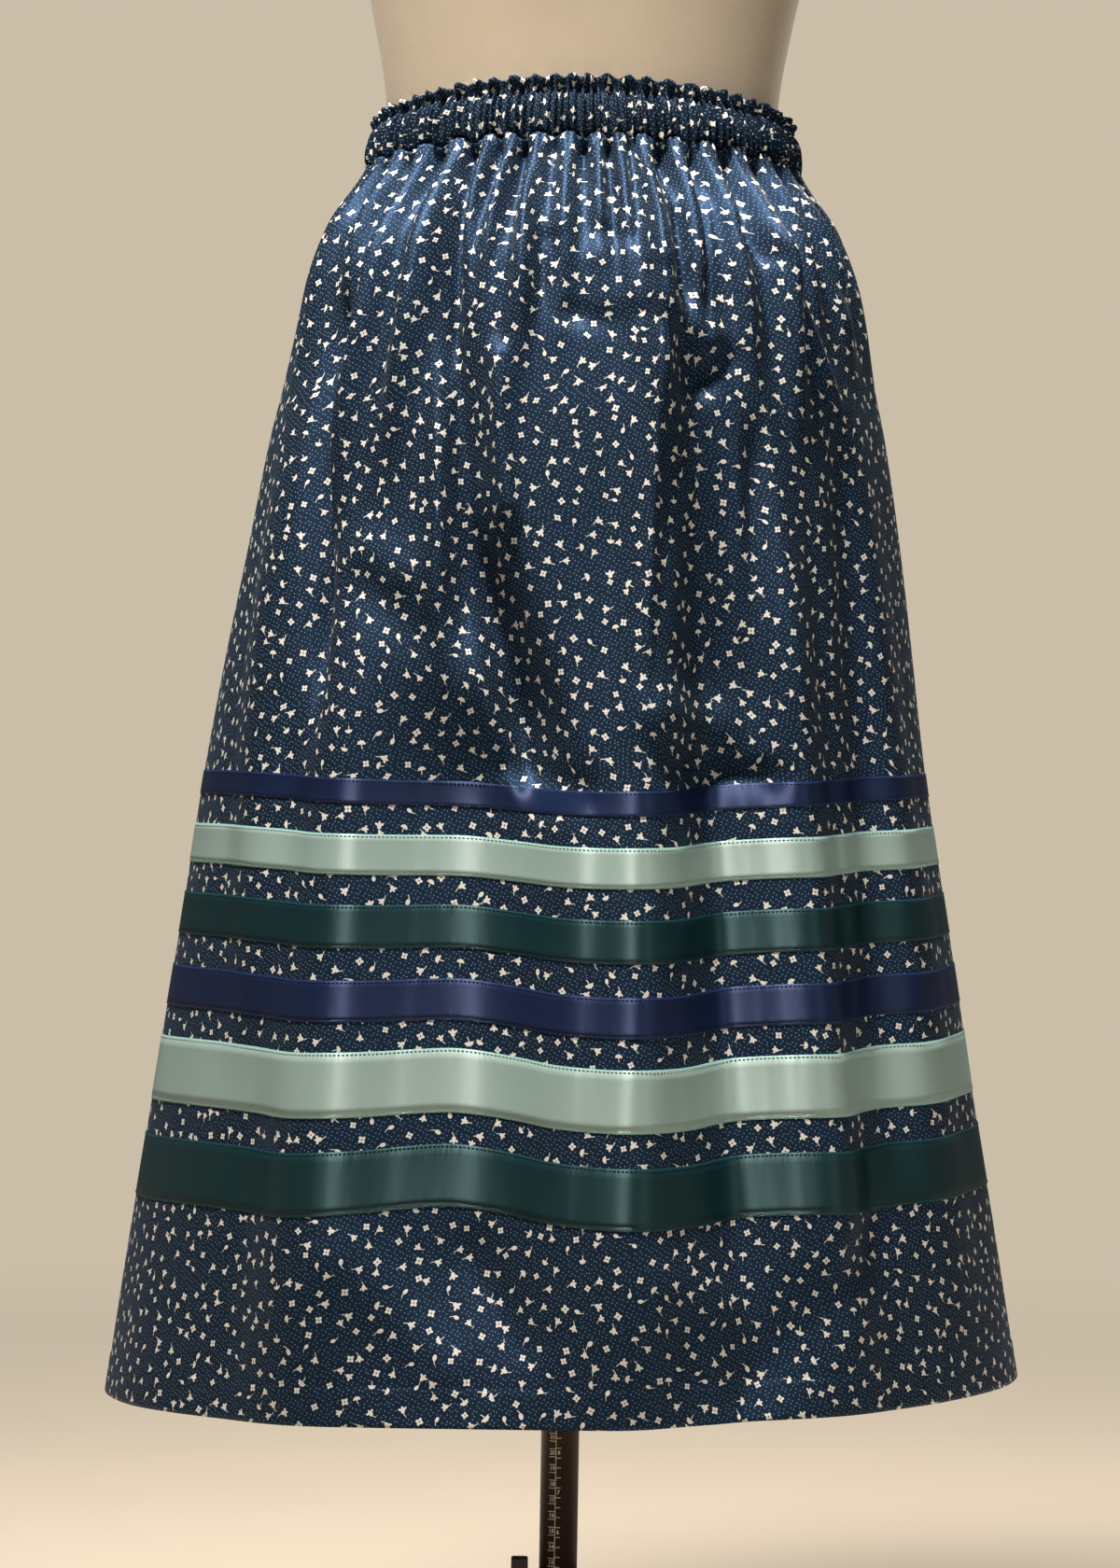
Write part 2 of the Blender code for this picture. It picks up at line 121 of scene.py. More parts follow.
def mottled(tree, place, per_metre, detail, one, other):
    """A colour that drifts between two tones, in so many patches to a metre."""
    patches = add_node(
        tree, "ShaderNodeTexNoise", {"Vector": place, "Scale": per_metre, "Detail": detail},
    ).outputs["Fac"]
    return add_node(
        tree, "ShaderNodeMix", {"Factor": patches, "A": one, "B": other}, data_type="RGBA",
    ).outputs["Result"]


def put(name, data):
    """A mesh, lamp, camera or line of text as an object in the scene."""
    item = bpy.data.objects.new(name, data)
    bpy.context.scene.collection.objects.link(item)
    return item


def new_mesh(name, points, faces, edges=()):
    """A mesh from points and the numbers of the points that each face or edge joins."""
    data = bpy.data.meshes.new(name)
    data.from_pydata(points, edges, faces)
    return data


def new_piece(name, data, materials, replaced=()):
    """Put a mesh in the scene as one piece of the object, and hide the solids that it replaces."""
    piece = put(name, data)
    for material in materials:
        data.materials.append(material)
    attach(piece, "root")
    if replaced:
        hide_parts(*replaced)
    return piece


# %% [markdown]
# ## Camera
# The skirt is seen level, from 3 m, with a long lens, so its sides hardly converge. The lens
# is given by its focal length in points of the frame, which is 1680 points high.

# %% Camera
PICTURE_HEIGHT = 1680
FOCAL_IN_POINTS = 5010
CAMERA_DISTANCE = 3.0
CAMERA_HEIGHT = 0.629
CAMERA_ASIDE = -0.007
CAMERA_ROLL = math.radians(-0.95)

camera_data = bpy.data.cameras.new("camera")
camera_data.sensor_width = 36.0
camera_data.lens = camera_data.sensor_width * FOCAL_IN_POINTS / PICTURE_HEIGHT
camera = put("camera", camera_data)
camera.location = (CAMERA_ASIDE, -CAMERA_DISTANCE, CAMERA_HEIGHT)
camera.rotation_euler = (math.pi / 2, CAMERA_ROLL, 0.0)
bpy.context.scene.camera = camera
print("lens:", round(camera_data.lens, 1), "mm")

# %% [markdown]
# ## Studio
# A pale round floor fades out into an even pale surround, so the object can be walked round
# without meeting a wall. One small soft light stands high in front and a little to the left:
# it rakes down the cloth, so folds shade each other, and satin, which shows what it reflects,
# carries one upright streak on each fold that faces it. A broad weak light on the right and
# one high behind keep the other sides readable.

# %% Floor that fades out
def circle(radius, z, sides):
    """Points round the upright axis."""
    turns = [2.0 * math.pi * side / sides for side in range(sides)]
    return [(radius * math.cos(turn), radius * math.sin(turn), z) for turn in turns]


FLOOR_RADIUS, FLOOR_SIDES, FADE_FROM, FADE_TO = 4.0, 96, 0.7, 3.2
disc = new_mesh("studio_floor", circle(FLOOR_RADIUS, 0.0, FLOOR_SIDES), [range(FLOOR_SIDES)])
floor = put("studio_floor", disc)
paper, paper_tree, paper_shader, paper_place = new_material("studio floor paper, matte")
away = add_node(paper_tree, "ShaderNodeVectorMath", {0: paper_place}, operation="LENGTH")
faded = add_node(
    paper_tree, "ShaderNodeMapRange",
    {"Value": away.outputs["Value"], "From Min": FADE_FROM, "From Max": FADE_TO,
     "To Min": 1.0, "To Max": 0.0},
    interpolation_type="SMOOTHSTEP",
)
# The paper's faint clouds are about 330 mm across.
fill(paper_shader, {
    "Base Color": mottled(paper_tree, paper_place, 3.0, 3.0, "#C4BAA9", "#CAC0B0"),
    "Roughness": 0.9, "Alpha": faded.outputs[0],
})
floor.data.materials.append(paper)
print("floor:", FLOOR_RADIUS, "m round its middle, faded out by", FADE_TO, "m")


# %% Lights and surround
def soft_light(name, place, aim, size, power, tint):
    """A rectangular softbox that faces a point."""
    data = bpy.data.lights.new(name, "AREA")
    data.shape = "RECTANGLE"
    data.size, data.size_y = size
    data.energy = power
    data.color = linear(tint)[:3]
    lamp = put(name, data)
    lamp.location = place
    lamp.rotation_euler = (Vector(aim) - Vector(place)).to_track_quat("-Z", "Y").to_euler()
    return lamp


AIM = (0.0, 0.0, 0.68)
key = soft_light("key light", (-0.30, -0.53, 2.45), AIM, (0.3, 0.3), 83.0, "#FFF6EC")
soft_light("fill light", (1.5, -1.9, 1.7), AIM, (1.2, 1.2), 11.0, "#FFF5E8")
back = soft_light("back light", (0.7, 1.54, 3.09), AIM, (0.56, 0.56), 80.0, "#FFF6EC")

# The surround has two strengths: one that lights the cloth, and one that is seen behind it.
world = bpy.data.worlds.new("studio surround")
world.use_nodes = True
surround = world.node_tree
lit = surround.nodes["Background"]
fill(lit, {"Color": "#F3EEE6", "Strength": 0.1})
seen = add_node(surround, "ShaderNodeBackground", {"Color": "#CBBEA9", "Strength": 1.0})
both = add_node(
    surround, "ShaderNodeMixShader",
    {0: add_node(surround, "ShaderNodeLightPath").outputs["Is Camera Ray"],
     1: lit.outputs[0], 2: seen.outputs[0]},
)
fill(surround.nodes["World Output"], {"Surface": both.outputs[0]})
bpy.context.scene.world = world
bpy.context.scene.view_settings.view_transform = "Standard"
print("lights:", sum(item.type == "LIGHT" for item in bpy.context.scene.objects))

# %% [markdown]
# ## The skirt's shape
# A skirt like this is two wide panels drawn up on elastic. Its shape has three layers. Level
# sections give the outline. Folds, each a soft ridge or valley that drifts as it falls, give
# the drape. Creases and dents are the small sharp ones that the hand leaves. All three are
# tables with one row each, and one function turns a turn and a height into a point. A cloth
# simulation would find a drape of its own; tables put each fold where this skirt has it. The
# sections follow the frame's solids, a little fuller in front below the waist. The folds lie
# along the solids' own and are deeper, with many small ones that the solids leave out.

# %% Sections of the skirt, from the casing's top to the hem
Section = namedtuple("Section", "height half_width front back rise focus hike sway")
SECTIONS = [Section(*row) for row in (
    (1051, 132.5, 104.5, 100, 18, 2, 0, 1.5),
    (1036, 135, 106, 101.5, 14, 2, 0, 1.5),
    (1020, 138, 109, 104, 12, 2, 0, 1.5),
    (1006, 145, 117.5, 112, 11, 2, 0, 1.5),
    (994, 151.5, 126, 119.5, 10, 2, 0, 1.5),
    (976, 160.5, 137.5, 130, 8, 2.2, 0, 1.5),
    (950, 170.5, 150, 142, 6, 2.6, 0.2, 1.8),
    (922, 178.5, 157.5, 151.5, 4, 3, 0.4, 2),
    (886, 188, 164, 162.5, 1, 4, 0.7, 1),
    (850, 196.5, 169, 171, -2, 5, 1, 0),
    (779, 208.5, 175, 182, -6, 6, 1.6, -1),
    (707, 220.5, 180, 191, -10, 7, 2.2, -2.6),
    (637, 231, 185.5, 199, -12, 8, 2.6, -3.2),
    (560, 242.5, 196, 208, -12.2, 8, 3.4, -2.4),
    (491, 253, 205, 216, -11.8, 8, 4.8, -2.2),
    (411, 265, 215, 223, -8.5, 8, 7.4, -2.2),
    (330, 278, 224, 230, -4, 8, 8.6, -1.5),
    (247.5, 291.5, 232, 236, -1, 8, 9, -0.6),
)]
CASING_TOP = SECTIONS[0].height
CASING_SEAM = 1020.0
HEM = SECTIONS[-1].height
print("skirt:", CASING_TOP - HEM, "mm long,", 2 * SECTIONS[-1].half_width, "mm wide at the hem")


# %% Smooth curves through a table's rows
def rows_at(table, heights):
    """Rows of a table at an array of heights, on smooth curves through its own rows."""
    kind = type(table[0])
    rows = np.array(sorted(table, reverse=True))
    index = np.clip(np.searchsorted(-rows[:, 0], -heights, side="right") - 1, 0, len(rows) - 2)
    upper, lower = rows[index], rows[index + 1]
    before = rows[np.maximum(index - 1, 0)]
    after = rows[np.minimum(index + 2, len(rows) - 1)]
    span = upper[:, :1] - lower[:, :1]
    share = (upper[:, :1] - heights[:, None]) / span
    slope_in = (lower - before) / (before[:, :1] - lower[:, :1]) * span
    slope_out = (after - upper) / (upper[:, :1] - after[:, :1]) * span
    values = (
        upper * (1 + share ** 2 * (2 * share - 3)) + lower * share ** 2 * (3 - 2 * share)
        + slope_in * share * (share - 1) ** 2 + slope_out * share ** 2 * (share - 1)
    )
    return kind(*[values[:, place:place + 1] for place in range(len(kind._fields))])


# %% Gathers and long folds of the front half
Gather = namedtuple("Gather", "turn out spread full end")
GATHERS = [Gather(*row) for row in (
    (-82, 6, 6.5, 985, 860),
    (-69, 10, 6, 975, 860),
    (-57.5, 8, 4.5, 985, 900),
    (-46.5, 15, 5.5, 950, 780),
    (-34.5, 18, 6, 955, 800),
    (-25, 7, 2.6, 1000, 930),
    (-19, 10, 3.2, 985, 880),
    (-12, 14, 4, 970, 840),
    (-4, 9, 3.6, 985, 880),
    (3.5, 8, 3.2, 990, 930),
    (9, 7, 2.6, 995, 900),
    (15.5, 17, 4.4, 955, 790),
    (24, 9, 3.6, 985, 880),
    (33.5, 12, 4.5, 975, 850),
    (44, 17, 5.5, 960, 820),
    (55, 9, 4, 985, 890),
    (66, 10, 6, 975, 870),
    (79, 7, 7, 980, 850),
)]
GATHER_ABOVE, GATHER_HOLD = 3.0, 0.85

# A fold runs from its turn at the top to another at its end, and grows and fades between.
Fold = namedtuple("Fold", "turn to out spread lean top full low end")
FOLDS = [Fold(*row) for row in (
    (-60, -40, -9, 6, 0, 960, 880, 740, 640),
    (-66, -44, 8, 12, 0, 940, 760, 560, 400),
    (-32, -22, -9, 4, 0, 1030, 990, 900, 820),
    (-24.5, -16.5, -14, 6, -0.35, 935, 820, 745, 690),
    (-19.5, -2, -26, 7.5, -0.35, 810, 715, 690, 610),
    (-15, -12, -22, 17.5, 0, 730, 620, 360, 180),
    (-36, -34, 16, 12.1, 0, 820, 650, 350, 170),
    (15, 8, 12, 8.5, 0, 1010, 930, 330, 170),
    (6, 5.5, 9, 13.6, 0, 800, 630, 330, 170),
    (23, 24.3, -15.8, 8, 0, 880, 690, 380, 200),
    (36.5, 37, 16, 8.5, 0, 850, 690, 380, 200),
    (57, 48, -8, 8, 0, 880, 790, 480, 300),
    (62, 60, 5, 12, 0, 860, 700, 420, 200),
)]
print("front:", len(GATHERS), "gathers and", len(FOLDS), "long folds")

# %% Creases: narrow folds that sit on the long ones
CREASES = [Fold(*row) for row in (
    (15.4, 11, 4, 3, 0.85, 1018, 990, 760, 640),
    (17.8, 13.4, -4, 3, -0.6, 1018, 990, 800, 700),
    (-57.5, -40.5, -6, 2.4, 0, 935, 905, 700, 640),
    (-25.5, -21, 5, 2.8, 0.6, 905, 870, 770, 700),
    (-30.5, -23.5, -4, 1.8, 0, 1016, 1000, 880, 830),
    (-17, -19.5, -5, 2, 0, 1014, 1000, 950, 890),
    (28.5, 23, -5, 1.8, 0, 1012, 995, 930, 880),
    (20.5, 19.5, -5, 2.2, 0, 982, 962, 925, 898),
    (38.5, 34, -5, 2.4, 0, 1010, 995, 970, 935),
    (42, 58, 6, 4, 0, 980, 955, 890, 855),
    (61, 68, -6, 3.5, 0, 1002, 985, 950, 915),
    (33.5, 30, -6, 4, 0, 865, 825, 700, 640),
    (-51, -47, 3.5, 3, 0, 900, 870, 780, 720),
    (-12, -7, -4, 2, 0, 1008, 985, 940, 905),
)]

# Dents run straight from one (turn, height) to another, in a round-bottomed trough.
Dent = namedtuple("Dent", "turn height to down out width")
DENTS = [Dent(*row) for row in (
    (14, 912, 22.5, 873, -6.5, 7),
    (22.5, 873, 27.5, 889, -5, 6.5),
    (19, 914, 24.5, 900, 7, 9),
    (14, 938, 14.6, 922, -3, 5),
    (37, 966, 40, 953, -4, 6),
    (-6, 955, -2, 912, -3.5, 6),
    (-2, 912, 2.5, 908, -2.5, 6),
    (4, 944, 7, 922, 3.5, 10),
    (4.5, 960, 9, 957, -2.5, 6),
    (-15.5, 890, -10.5, 798, 9, 5),
    (-36, 752, -25, 726, -3.5, 11),
    (-38, 776, -29, 762, 4, 10),
    (17, 650, 31, 640, -8.2, 9.4),
    (14, 682, 24, 674, 7, 12),
    (-9, 652, 2, 638, -4.5, 10),
    (43, 355, 21, 262, -6, 18),
    (14, 335, 20, 318, 5, 15),
    (-28, 350, -14, 285, 5, 17),
    (-12, 350, -4, 300, -5, 14),
)]
print("front:", len(CREASES), "creases and", len(DENTS), "dents")

# %% The back's folds, and the tucks between gathers
BACK_TURN, BACK_SHARE = 183.0, 0.85
TUCK_OUT, TUCK_OUT_UNEVEN, TUCK_REACH = -11.0, 2.5, 0.4
TUCK_TOP, TUCK_FULL, TUCK_LOW, TUCK_END, TUCK_END_UNEVEN = 1023.0, 1006.0, 1002.0, 964.0, 20.0
WAIST_RADIUS, FLARE = 100.0, 0.22


def mirrored(row):
    """A front row's copy on the back."""
    changes = {"turn": BACK_TURN - row.turn, "to": BACK_TURN - row.to, "out": row.out * BACK_SHARE}
    return row._replace(**changes, **({"lean": -row.lean} if hasattr(row, "lean") else {}))


def gather_fold(gather):
    """A gather as a Fold row: it starts in the casing and fades on its way down."""
    fade = gather.end + GATHER_HOLD * (gather.full - gather.end)
    return Fold(
        gather.turn, gather.turn, gather.out, gather.spread, 0.0,
        CASING_SEAM + GATHER_ABOVE, gather.full, fade, gather.end,
    )


def tucks():
    """Narrow tucks that drop in between neighbouring gathers, each a little different."""
    rows = []
    for number, (first, second) in enumerate(zip(GATHERS, GATHERS[1:])):
        middle = (first.turn + second.turn) / 2
        reach = TUCK_REACH * (second.turn - first.turn)
        depth = TUCK_OUT - TUCK_OUT_UNEVEN * math.sin(2.4 * number)
        end = TUCK_END + TUCK_END_UNEVEN * math.sin(1.7 * number + 1.0)
        rows.append(Fold(middle, middle, depth, reach, 0.0, TUCK_TOP, TUCK_FULL, TUCK_LOW, end))
    return rows


front_folds = [gather_fold(gather) for gather in GATHERS] + [*FOLDS, *CREASES, *tucks()]
all_folds = front_folds + [mirrored(fold) for fold in front_folds]
all_dents = [*DENTS, *(mirrored(dent) for dent in DENTS)]
print("all round:", len(all_folds), "folds and creases,", len(all_dents), "dents")


# %% Depth of the folds at any turn and height
def smooth(value):
    """0 to 1 with flat ends."""
    value = np.clip(value, 0.0, 1.0)
    return value * value * (3.0 - 2.0 * value)


def turned(turn, centre):
    """The short way round from one turn to another, in degrees."""
    return (turn - centre + 180.0) % 360.0 - 180.0


def rough_radius(height):
    """About how far the cloth is from the pole, to turn degrees into millimetres."""
    return WAIST_RADIUS + FLARE * (CASING_TOP - height)


def fold_depth(turn, height):
    """How far the cloth stands out of its plain section, for grids of turns and heights."""
    total = np.zeros(np.broadcast(turn, height).shape)
    for fold in all_folds:
        fall = (fold.top - height) / (fold.top - fold.end)
        away = turned(turn, fold.turn + (fold.to - fold.turn) * fall)
        side = np.where(away > 0.0, 1.0 - fold.lean, 1.0 + fold.lean)
        reach = np.minimum(np.abs(away) / (fold.spread * side), 1.0)
        grown = smooth((fold.top - height) / (fold.top - fold.full))
        left = smooth((height - fold.end) / (fold.low - fold.end))
        total += fold.out * grown * left * 0.5 * (1.0 + np.cos(np.pi * reach))
    for dent in all_dents:
        across = np.radians(turned(turn, dent.turn)) * rough_radius(height)
        along = height - dent.height
        run = math.radians(dent.to - dent.turn) * rough_radius(dent.height)
        drop = dent.down - dent.height
        share = np.clip((across * run + along * drop) / (run * run + drop * drop), 0.0, 1.0)
        apart = np.hypot(across - share * run, along - share * drop)
        total += dent.out * np.exp(-(apart / dent.width) ** 2)
    return total


# %% [markdown]
# Cloth is never quite smooth between its folds. A few slow waves, none of them a millimetre
# deep, break up the reflections, and close under the casing the ruched ribs run on for a finger's
# breadth before they merge into gathers.

# %% Slow waves, and ribs under the casing
Wave = namedtuple("Wave", "round down depth phase")
WAVES = (
    Wave(7.0, 0.011, 0.8, 0.4), Wave(13.0, -0.017, 0.4, 1.9), Wave(19.0, 0.026, 0.2, 3.1),
)
RIBS = 172
ROOT_RIB_DEPTH, ROOT_RIB_REACH = 1.5, 13.0
SEAM_PULL, SEAM_PULL_FROM, SEAM_PULL_REACH, FULL_PULL_DEPTH = 3.0, 1000.0, 9.0, 12.0
# No valley sinks into the form: the deepest at the seam, and how much deeper per mm below.
DEEPEST_AT_SEAM, DEEPER_BELOW = -8.0, 0.36
WAVES_GROW_OVER = 40.0
rib_spacing = math.pi * (SECTIONS[0].half_width + SECTIONS[0].front) / RIBS
print("ribs: about", round(rib_spacing, 1), "mm apart")


def rib_phase(turn):
    """The ribs' phase round the waist, with their spacing a little uneven."""
    angle = np.radians(turn)
    slow = 1.7 * np.sin(5 * angle + 0.6) + 1.2 * np.sin(17 * angle + 2.0)
    return RIBS * angle + slow + 0.8 * np.sin(37 * angle + 4.0)


# %% A point of the skirt
def oval(section, angle, out):
    """Points of level sections, each two half ellipses, moved out along their normals."""
    depth = np.where(np.cos(angle) > 0.0, section.front, section.back)
    across, ahead = np.sin(angle), np.cos(angle)
    length = np.hypot(depth * across, section.half_width * ahead)
    x = section.half_width * across + out * depth * across / length
    return x, -depth * ahead - out * section.half_width * ahead / length


def level(section, angle):
    """The height of a section at a turn: its middle dips or rises, and one side rides up."""
    at_side = 0.5 ** section.focus
    weight = (((1.0 + np.cos(angle)) * 0.5) ** section.focus - at_side) / (1.0 - at_side)
    return section.height + section.rise * weight + section.hike * np.sin(angle)


def rows_on(table, height):
    """A table's rows for a grid of heights."""
    rows = rows_at(table, height.reshape(-1))
    return type(table[0])(*[column.reshape(height.shape) for column in rows])


def seam_pull(turn, height):
    """Gathers lift the seam of the casing a little, and tucks pull it down, in millimetres."""
    depth = fold_depth(turn[None, :], np.array([[SEAM_PULL_FROM]]))
    pull = np.clip(depth / FULL_PULL_DEPTH, -1.0, 1.2)
    return SEAM_PULL * pull * np.exp(-((height - CASING_SEAM) / SEAM_PULL_REACH) ** 2)


def skirt_points(turn, height, outward=0.0, folded=True):
    """Points of the skirt's outside in metres, moved out by millimetres: one, or a grid."""
    grid = height[:, None] + 0.0 * turn[None, :] if height.ndim == 1 else height
    section = rows_on(SECTIONS, grid)
    angle = np.radians(turn)[None, :]
    out = np.zeros(grid.shape)
    z = level(section, angle)
    if folded:
        out += fold_depth(turn[None, :], grid)
        free = smooth((CASING_SEAM - grid) / WAVES_GROW_OVER)
        for wave in WAVES:
            out += free * wave.depth * np.sin(wave.round * angle + wave.down * grid + wave.phase)
        root = np.exp(-((CASING_SEAM - grid) / ROOT_RIB_REACH) ** 2)
        out += ROOT_RIB_DEPTH * root * np.cos(rib_phase(turn))[None, :]
        out = np.maximum(out, DEEPEST_AT_SEAM - DEEPER_BELOW * (CASING_SEAM - grid))
        z = z + seam_pull(turn, grid)
    x, y = oval(section, angle, out + outward)
    return np.stack([x + section.sway, y, z], axis=-1) * MM


# %% [markdown]
# ## Cloth as a grid
# Every cloth piece is a grid of rows and columns with its own UV map in metres of cloth, so
# one print or weave fits all of them at its true size. Across a panel the map follows the
# cloth's own surface. Near the waist the panel is far wider than the row it is drawn up in,
# and the spare width is taken up in the valleys between the gathers, where it would be
# tucked out of sight. Where a gap between gathers is wider than its cloth instead, the map
# gives way over the whole gap, so that no motif is drawn out.

# %% Grid mesh with a cloth map
def length_along(points, axis):
    """How far each point of a grid lies from the first one in its column or row."""
    step = np.linalg.norm(np.diff(points, axis=axis), axis=-1)
    start = np.zeros_like(np.take(step, [0], axis=axis))
    return np.concatenate([start, np.cumsum(step, axis=axis)], axis=axis)


def cloth_grid(across, down):
    """Cloth positions where every row has the same places across."""
    return np.stack(np.broadcast_arrays(across[None, :], down[:, None]), axis=-1)


def grid_mesh(name, points, cloth, closed=False):
    """A mesh over rows and columns of points, with cloth positions in metres as its UV map."""
    rows, columns = points.shape[:2]
    used = columns - 1 if closed else columns
    place = np.arange(rows * used).reshape(rows, used)
    right = np.roll(place, -1, axis=1) if closed else place[:, 1:]
    left = place if closed else place[:, :-1]
    faces = np.stack([left[:-1], left[1:], right[1:], right[:-1]], axis=-1).reshape(-1, 4)
    data = new_mesh(name, points[:, :used].reshape(-1, 3).tolist(), faces.tolist())
    corner = np.stack([cloth[:-1, :-1], cloth[1:, :-1], cloth[1:, 1:], cloth[:-1, 1:]], axis=2)
    layer = data.uv_layers.new(name="cloth")
    layer.data.foreach_set("uv", corner.reshape(-1).astype(np.float32))
    data.shade_smooth()
    return data


# %% Thickness, and a count of triangles
def solidify(piece, thickness, reverse=False):
    """Give a sheet its thickness inwards, with its second finish on the wrong side."""
    wall = piece.modifiers.new("cloth thickness", "SOLIDIFY")
    wall.thickness = thickness
    wall.offset = -1.0
    wall.use_even_offset = False
    wall.material_offset = 1 if reverse else 0
    return wall


def triangle_count(piece):
    """Triangles of the finished piece."""
    shown = piece.evaluated_get(bpy.context.evaluated_depsgraph_get())
    return sum(len(face.vertices) - 2 for face in shown.data.polygons)


# %% Cloth positions of a panel
FULL_WIDTH_HEIGHT = 905.0
TUCK_SPREAD = 2.4


def lobes(start):
    """The middles of one panel's gathers, and of the tucks between them, in degrees."""
    middles = sorted(gather.turn for gather in GATHERS)
    if start > 0.0:
        middles = sorted(BACK_TURN - middle for middle in middles)
    middles = np.array(middles)
    return middles, (middles[1:] + middles[:-1]) / 2


def panel_cloth(turn, height, points, offset):
    """UV positions of a panel: along its surface, and down its slant."""
    u = length_along(points[:, :, :2], 1)
    u = u - u[:, -1:] / 2
    full = u[np.argmin(np.abs(height - FULL_WIDTH_HEIGHT))]
    middles, tuck_turns = lobes(turn[0])
    columns = np.clip(np.searchsorted(turn, middles), 0, len(turn) - 1)
    short = np.where(height[:, None] > FULL_WIDTH_HEIGHT, full[columns] - u[:, columns], 0.0)
    shift = np.repeat(short[:, :1], len(turn), axis=1)
    for number, tuck in enumerate(tuck_turns):
        spare = (short[:, number + 1] - short[:, number])[:, None]
        in_tuck = smooth((turn - tuck) / TUCK_SPREAD + 0.5)[None, :]
        over_gap = smooth((turn - tuck) / (middles[number + 1] - middles[number]) + 0.5)[None, :]
        shift = shift + np.maximum(spare, 0.0) * in_tuck + np.minimum(spare, 0.0) * over_gap
    fall = length_along(skirt_points(turn, height, folded=False), 0)
    return np.stack([u + shift + offset, -fall], axis=-1)


# %% [markdown]
# ## Printed cotton
# The cloth is quilting cotton: plain weave, screen printed, a little lustrous from its
# finish. The print is a small scatter on deep blue, with tulips, four-petalled flowers,
# little fans and buds about 5 mm across every 11.6 mm, over pale pin dots 2.6 mm apart.
# A Voronoi texture gives each motif its own place, turn and kind. Each shape is then drawn in
# millimetres round that place with a few comparisons, so its edge stays crisp however close
# the camera comes, where a picture laid on the cloth would go soft. The sums are written
# with plain signs: two masks are multiplied to keep what both cover, and | keeps what either
# covers.

# %% Sums written with plain signs
class Number:
    """A number that varies over a surface. Each sum or comparison adds the node that does it."""

    def __init__(self, socket):
        self.socket = socket

    def step(self, operation, *others):
        """The number after one more step of arithmetic."""
        values = dict(enumerate((self, *others)))
        node = add_node(self.socket.id_data, "ShaderNodeMath", values, operation=operation)
        return Number(node.outputs[0])

    def __add__(self, other):
        return self.step("ADD", other)

    def __sub__(self, other):
        return self.step("SUBTRACT", other)

    def __mul__(self, other):
        return self.step("MULTIPLY", other)

    def __truediv__(self, other):
        return self.step("DIVIDE", other)

    def __lt__(self, other):
        return self.step("LESS_THAN", other)

    def __gt__(self, other):
        return self.step("GREATER_THAN", other)

    def __or__(self, other):
        return self.step("MAXIMUM", other)

    def __abs__(self):
        return self.step("ABSOLUTE")


# %% Motif shapes
STEM_HALF_WIDTH = 0.27


def round_place(x, y):
    """Distance from a middle, and the turn about it."""
    return (x * x + y * y).step("SQRT"), y.step("ARCTAN2", x)


def petal_edge(turn, petals, swing, radius):
    """A round edge that swings out at each petal."""
    return (turn * petals).step("COSINE").step("MULTIPLY_ADD", swing, radius)


def stem_mask(x, y, bend, top, foot):
    """A thin stem that leaves a blossom downwards and curves to one side."""
    down = y - top
    thin = abs(x - down * down * bend) < STEM_HALF_WIDTH
    return thin * (y > foot) * (y < top)


def flower_mask(x, y):
    """Four round petals about a small open centre."""
    reach, turn = round_place(x, y)
    return (reach < petal_edge(turn, 4.0, 0.52, 2.05)) * (reach > 0.5)


def tulip_mask(x, y):
    """Three pointed petals that fan from a rounded base, on a curved stem."""
    reach, turn = round_place(y + 1.4, x)
    petals = (reach < petal_edge(turn, 7.6, 0.62, 2.95)) * (abs(turn) < 1.12)
    return petals | (reach < 1.25) | stem_mask(x, y, 0.11, -1.6, -5.2)


def fan_mask(x, y):
    """A half-round head with a scalloped rim, on a short stem."""
    reach, turn = round_place(x, y)
    head = (reach < petal_edge(turn, 9.0, -0.22, 2.65)) * (y > 0.0)
    return head | stem_mask(x, y, 0.06, 0.1, -3.0)


def bud_mask(x, y):
    """A closed bud on a bent stem."""
    tall = (y - 0.9) * 0.66
    return (x * x + tall * tall < 1.75) | stem_mask(x, y, 0.16, -0.6, -3.6)


# %% Where the print goes
MOTIF_SPACING, MOTIF_UNEVEN = 11.6, 0.68
DOT_SPACING, DOT_UNEVEN, DOT_RADIUS = 2.6, 0.45, 0.34
CLEAR_OF_DOTS = 3.4
PRINT_TURN = math.radians(27.0)
# A shape is drawn in units of 1 / 1.24 to 1 / 0.96 mm, so that no two motifs are one size.
UNITS_PER_METRE, MORE_UNITS = 960.0, 280.0
# The share of motifs of each kind: (shape, from, to).
KINDS = ((flower_mask, 0.0, 0.31), (tulip_mask, 0.31, 0.74), (fan_mask, 0.74, 0.87),
         (bud_mask, 0.87, 1.01))


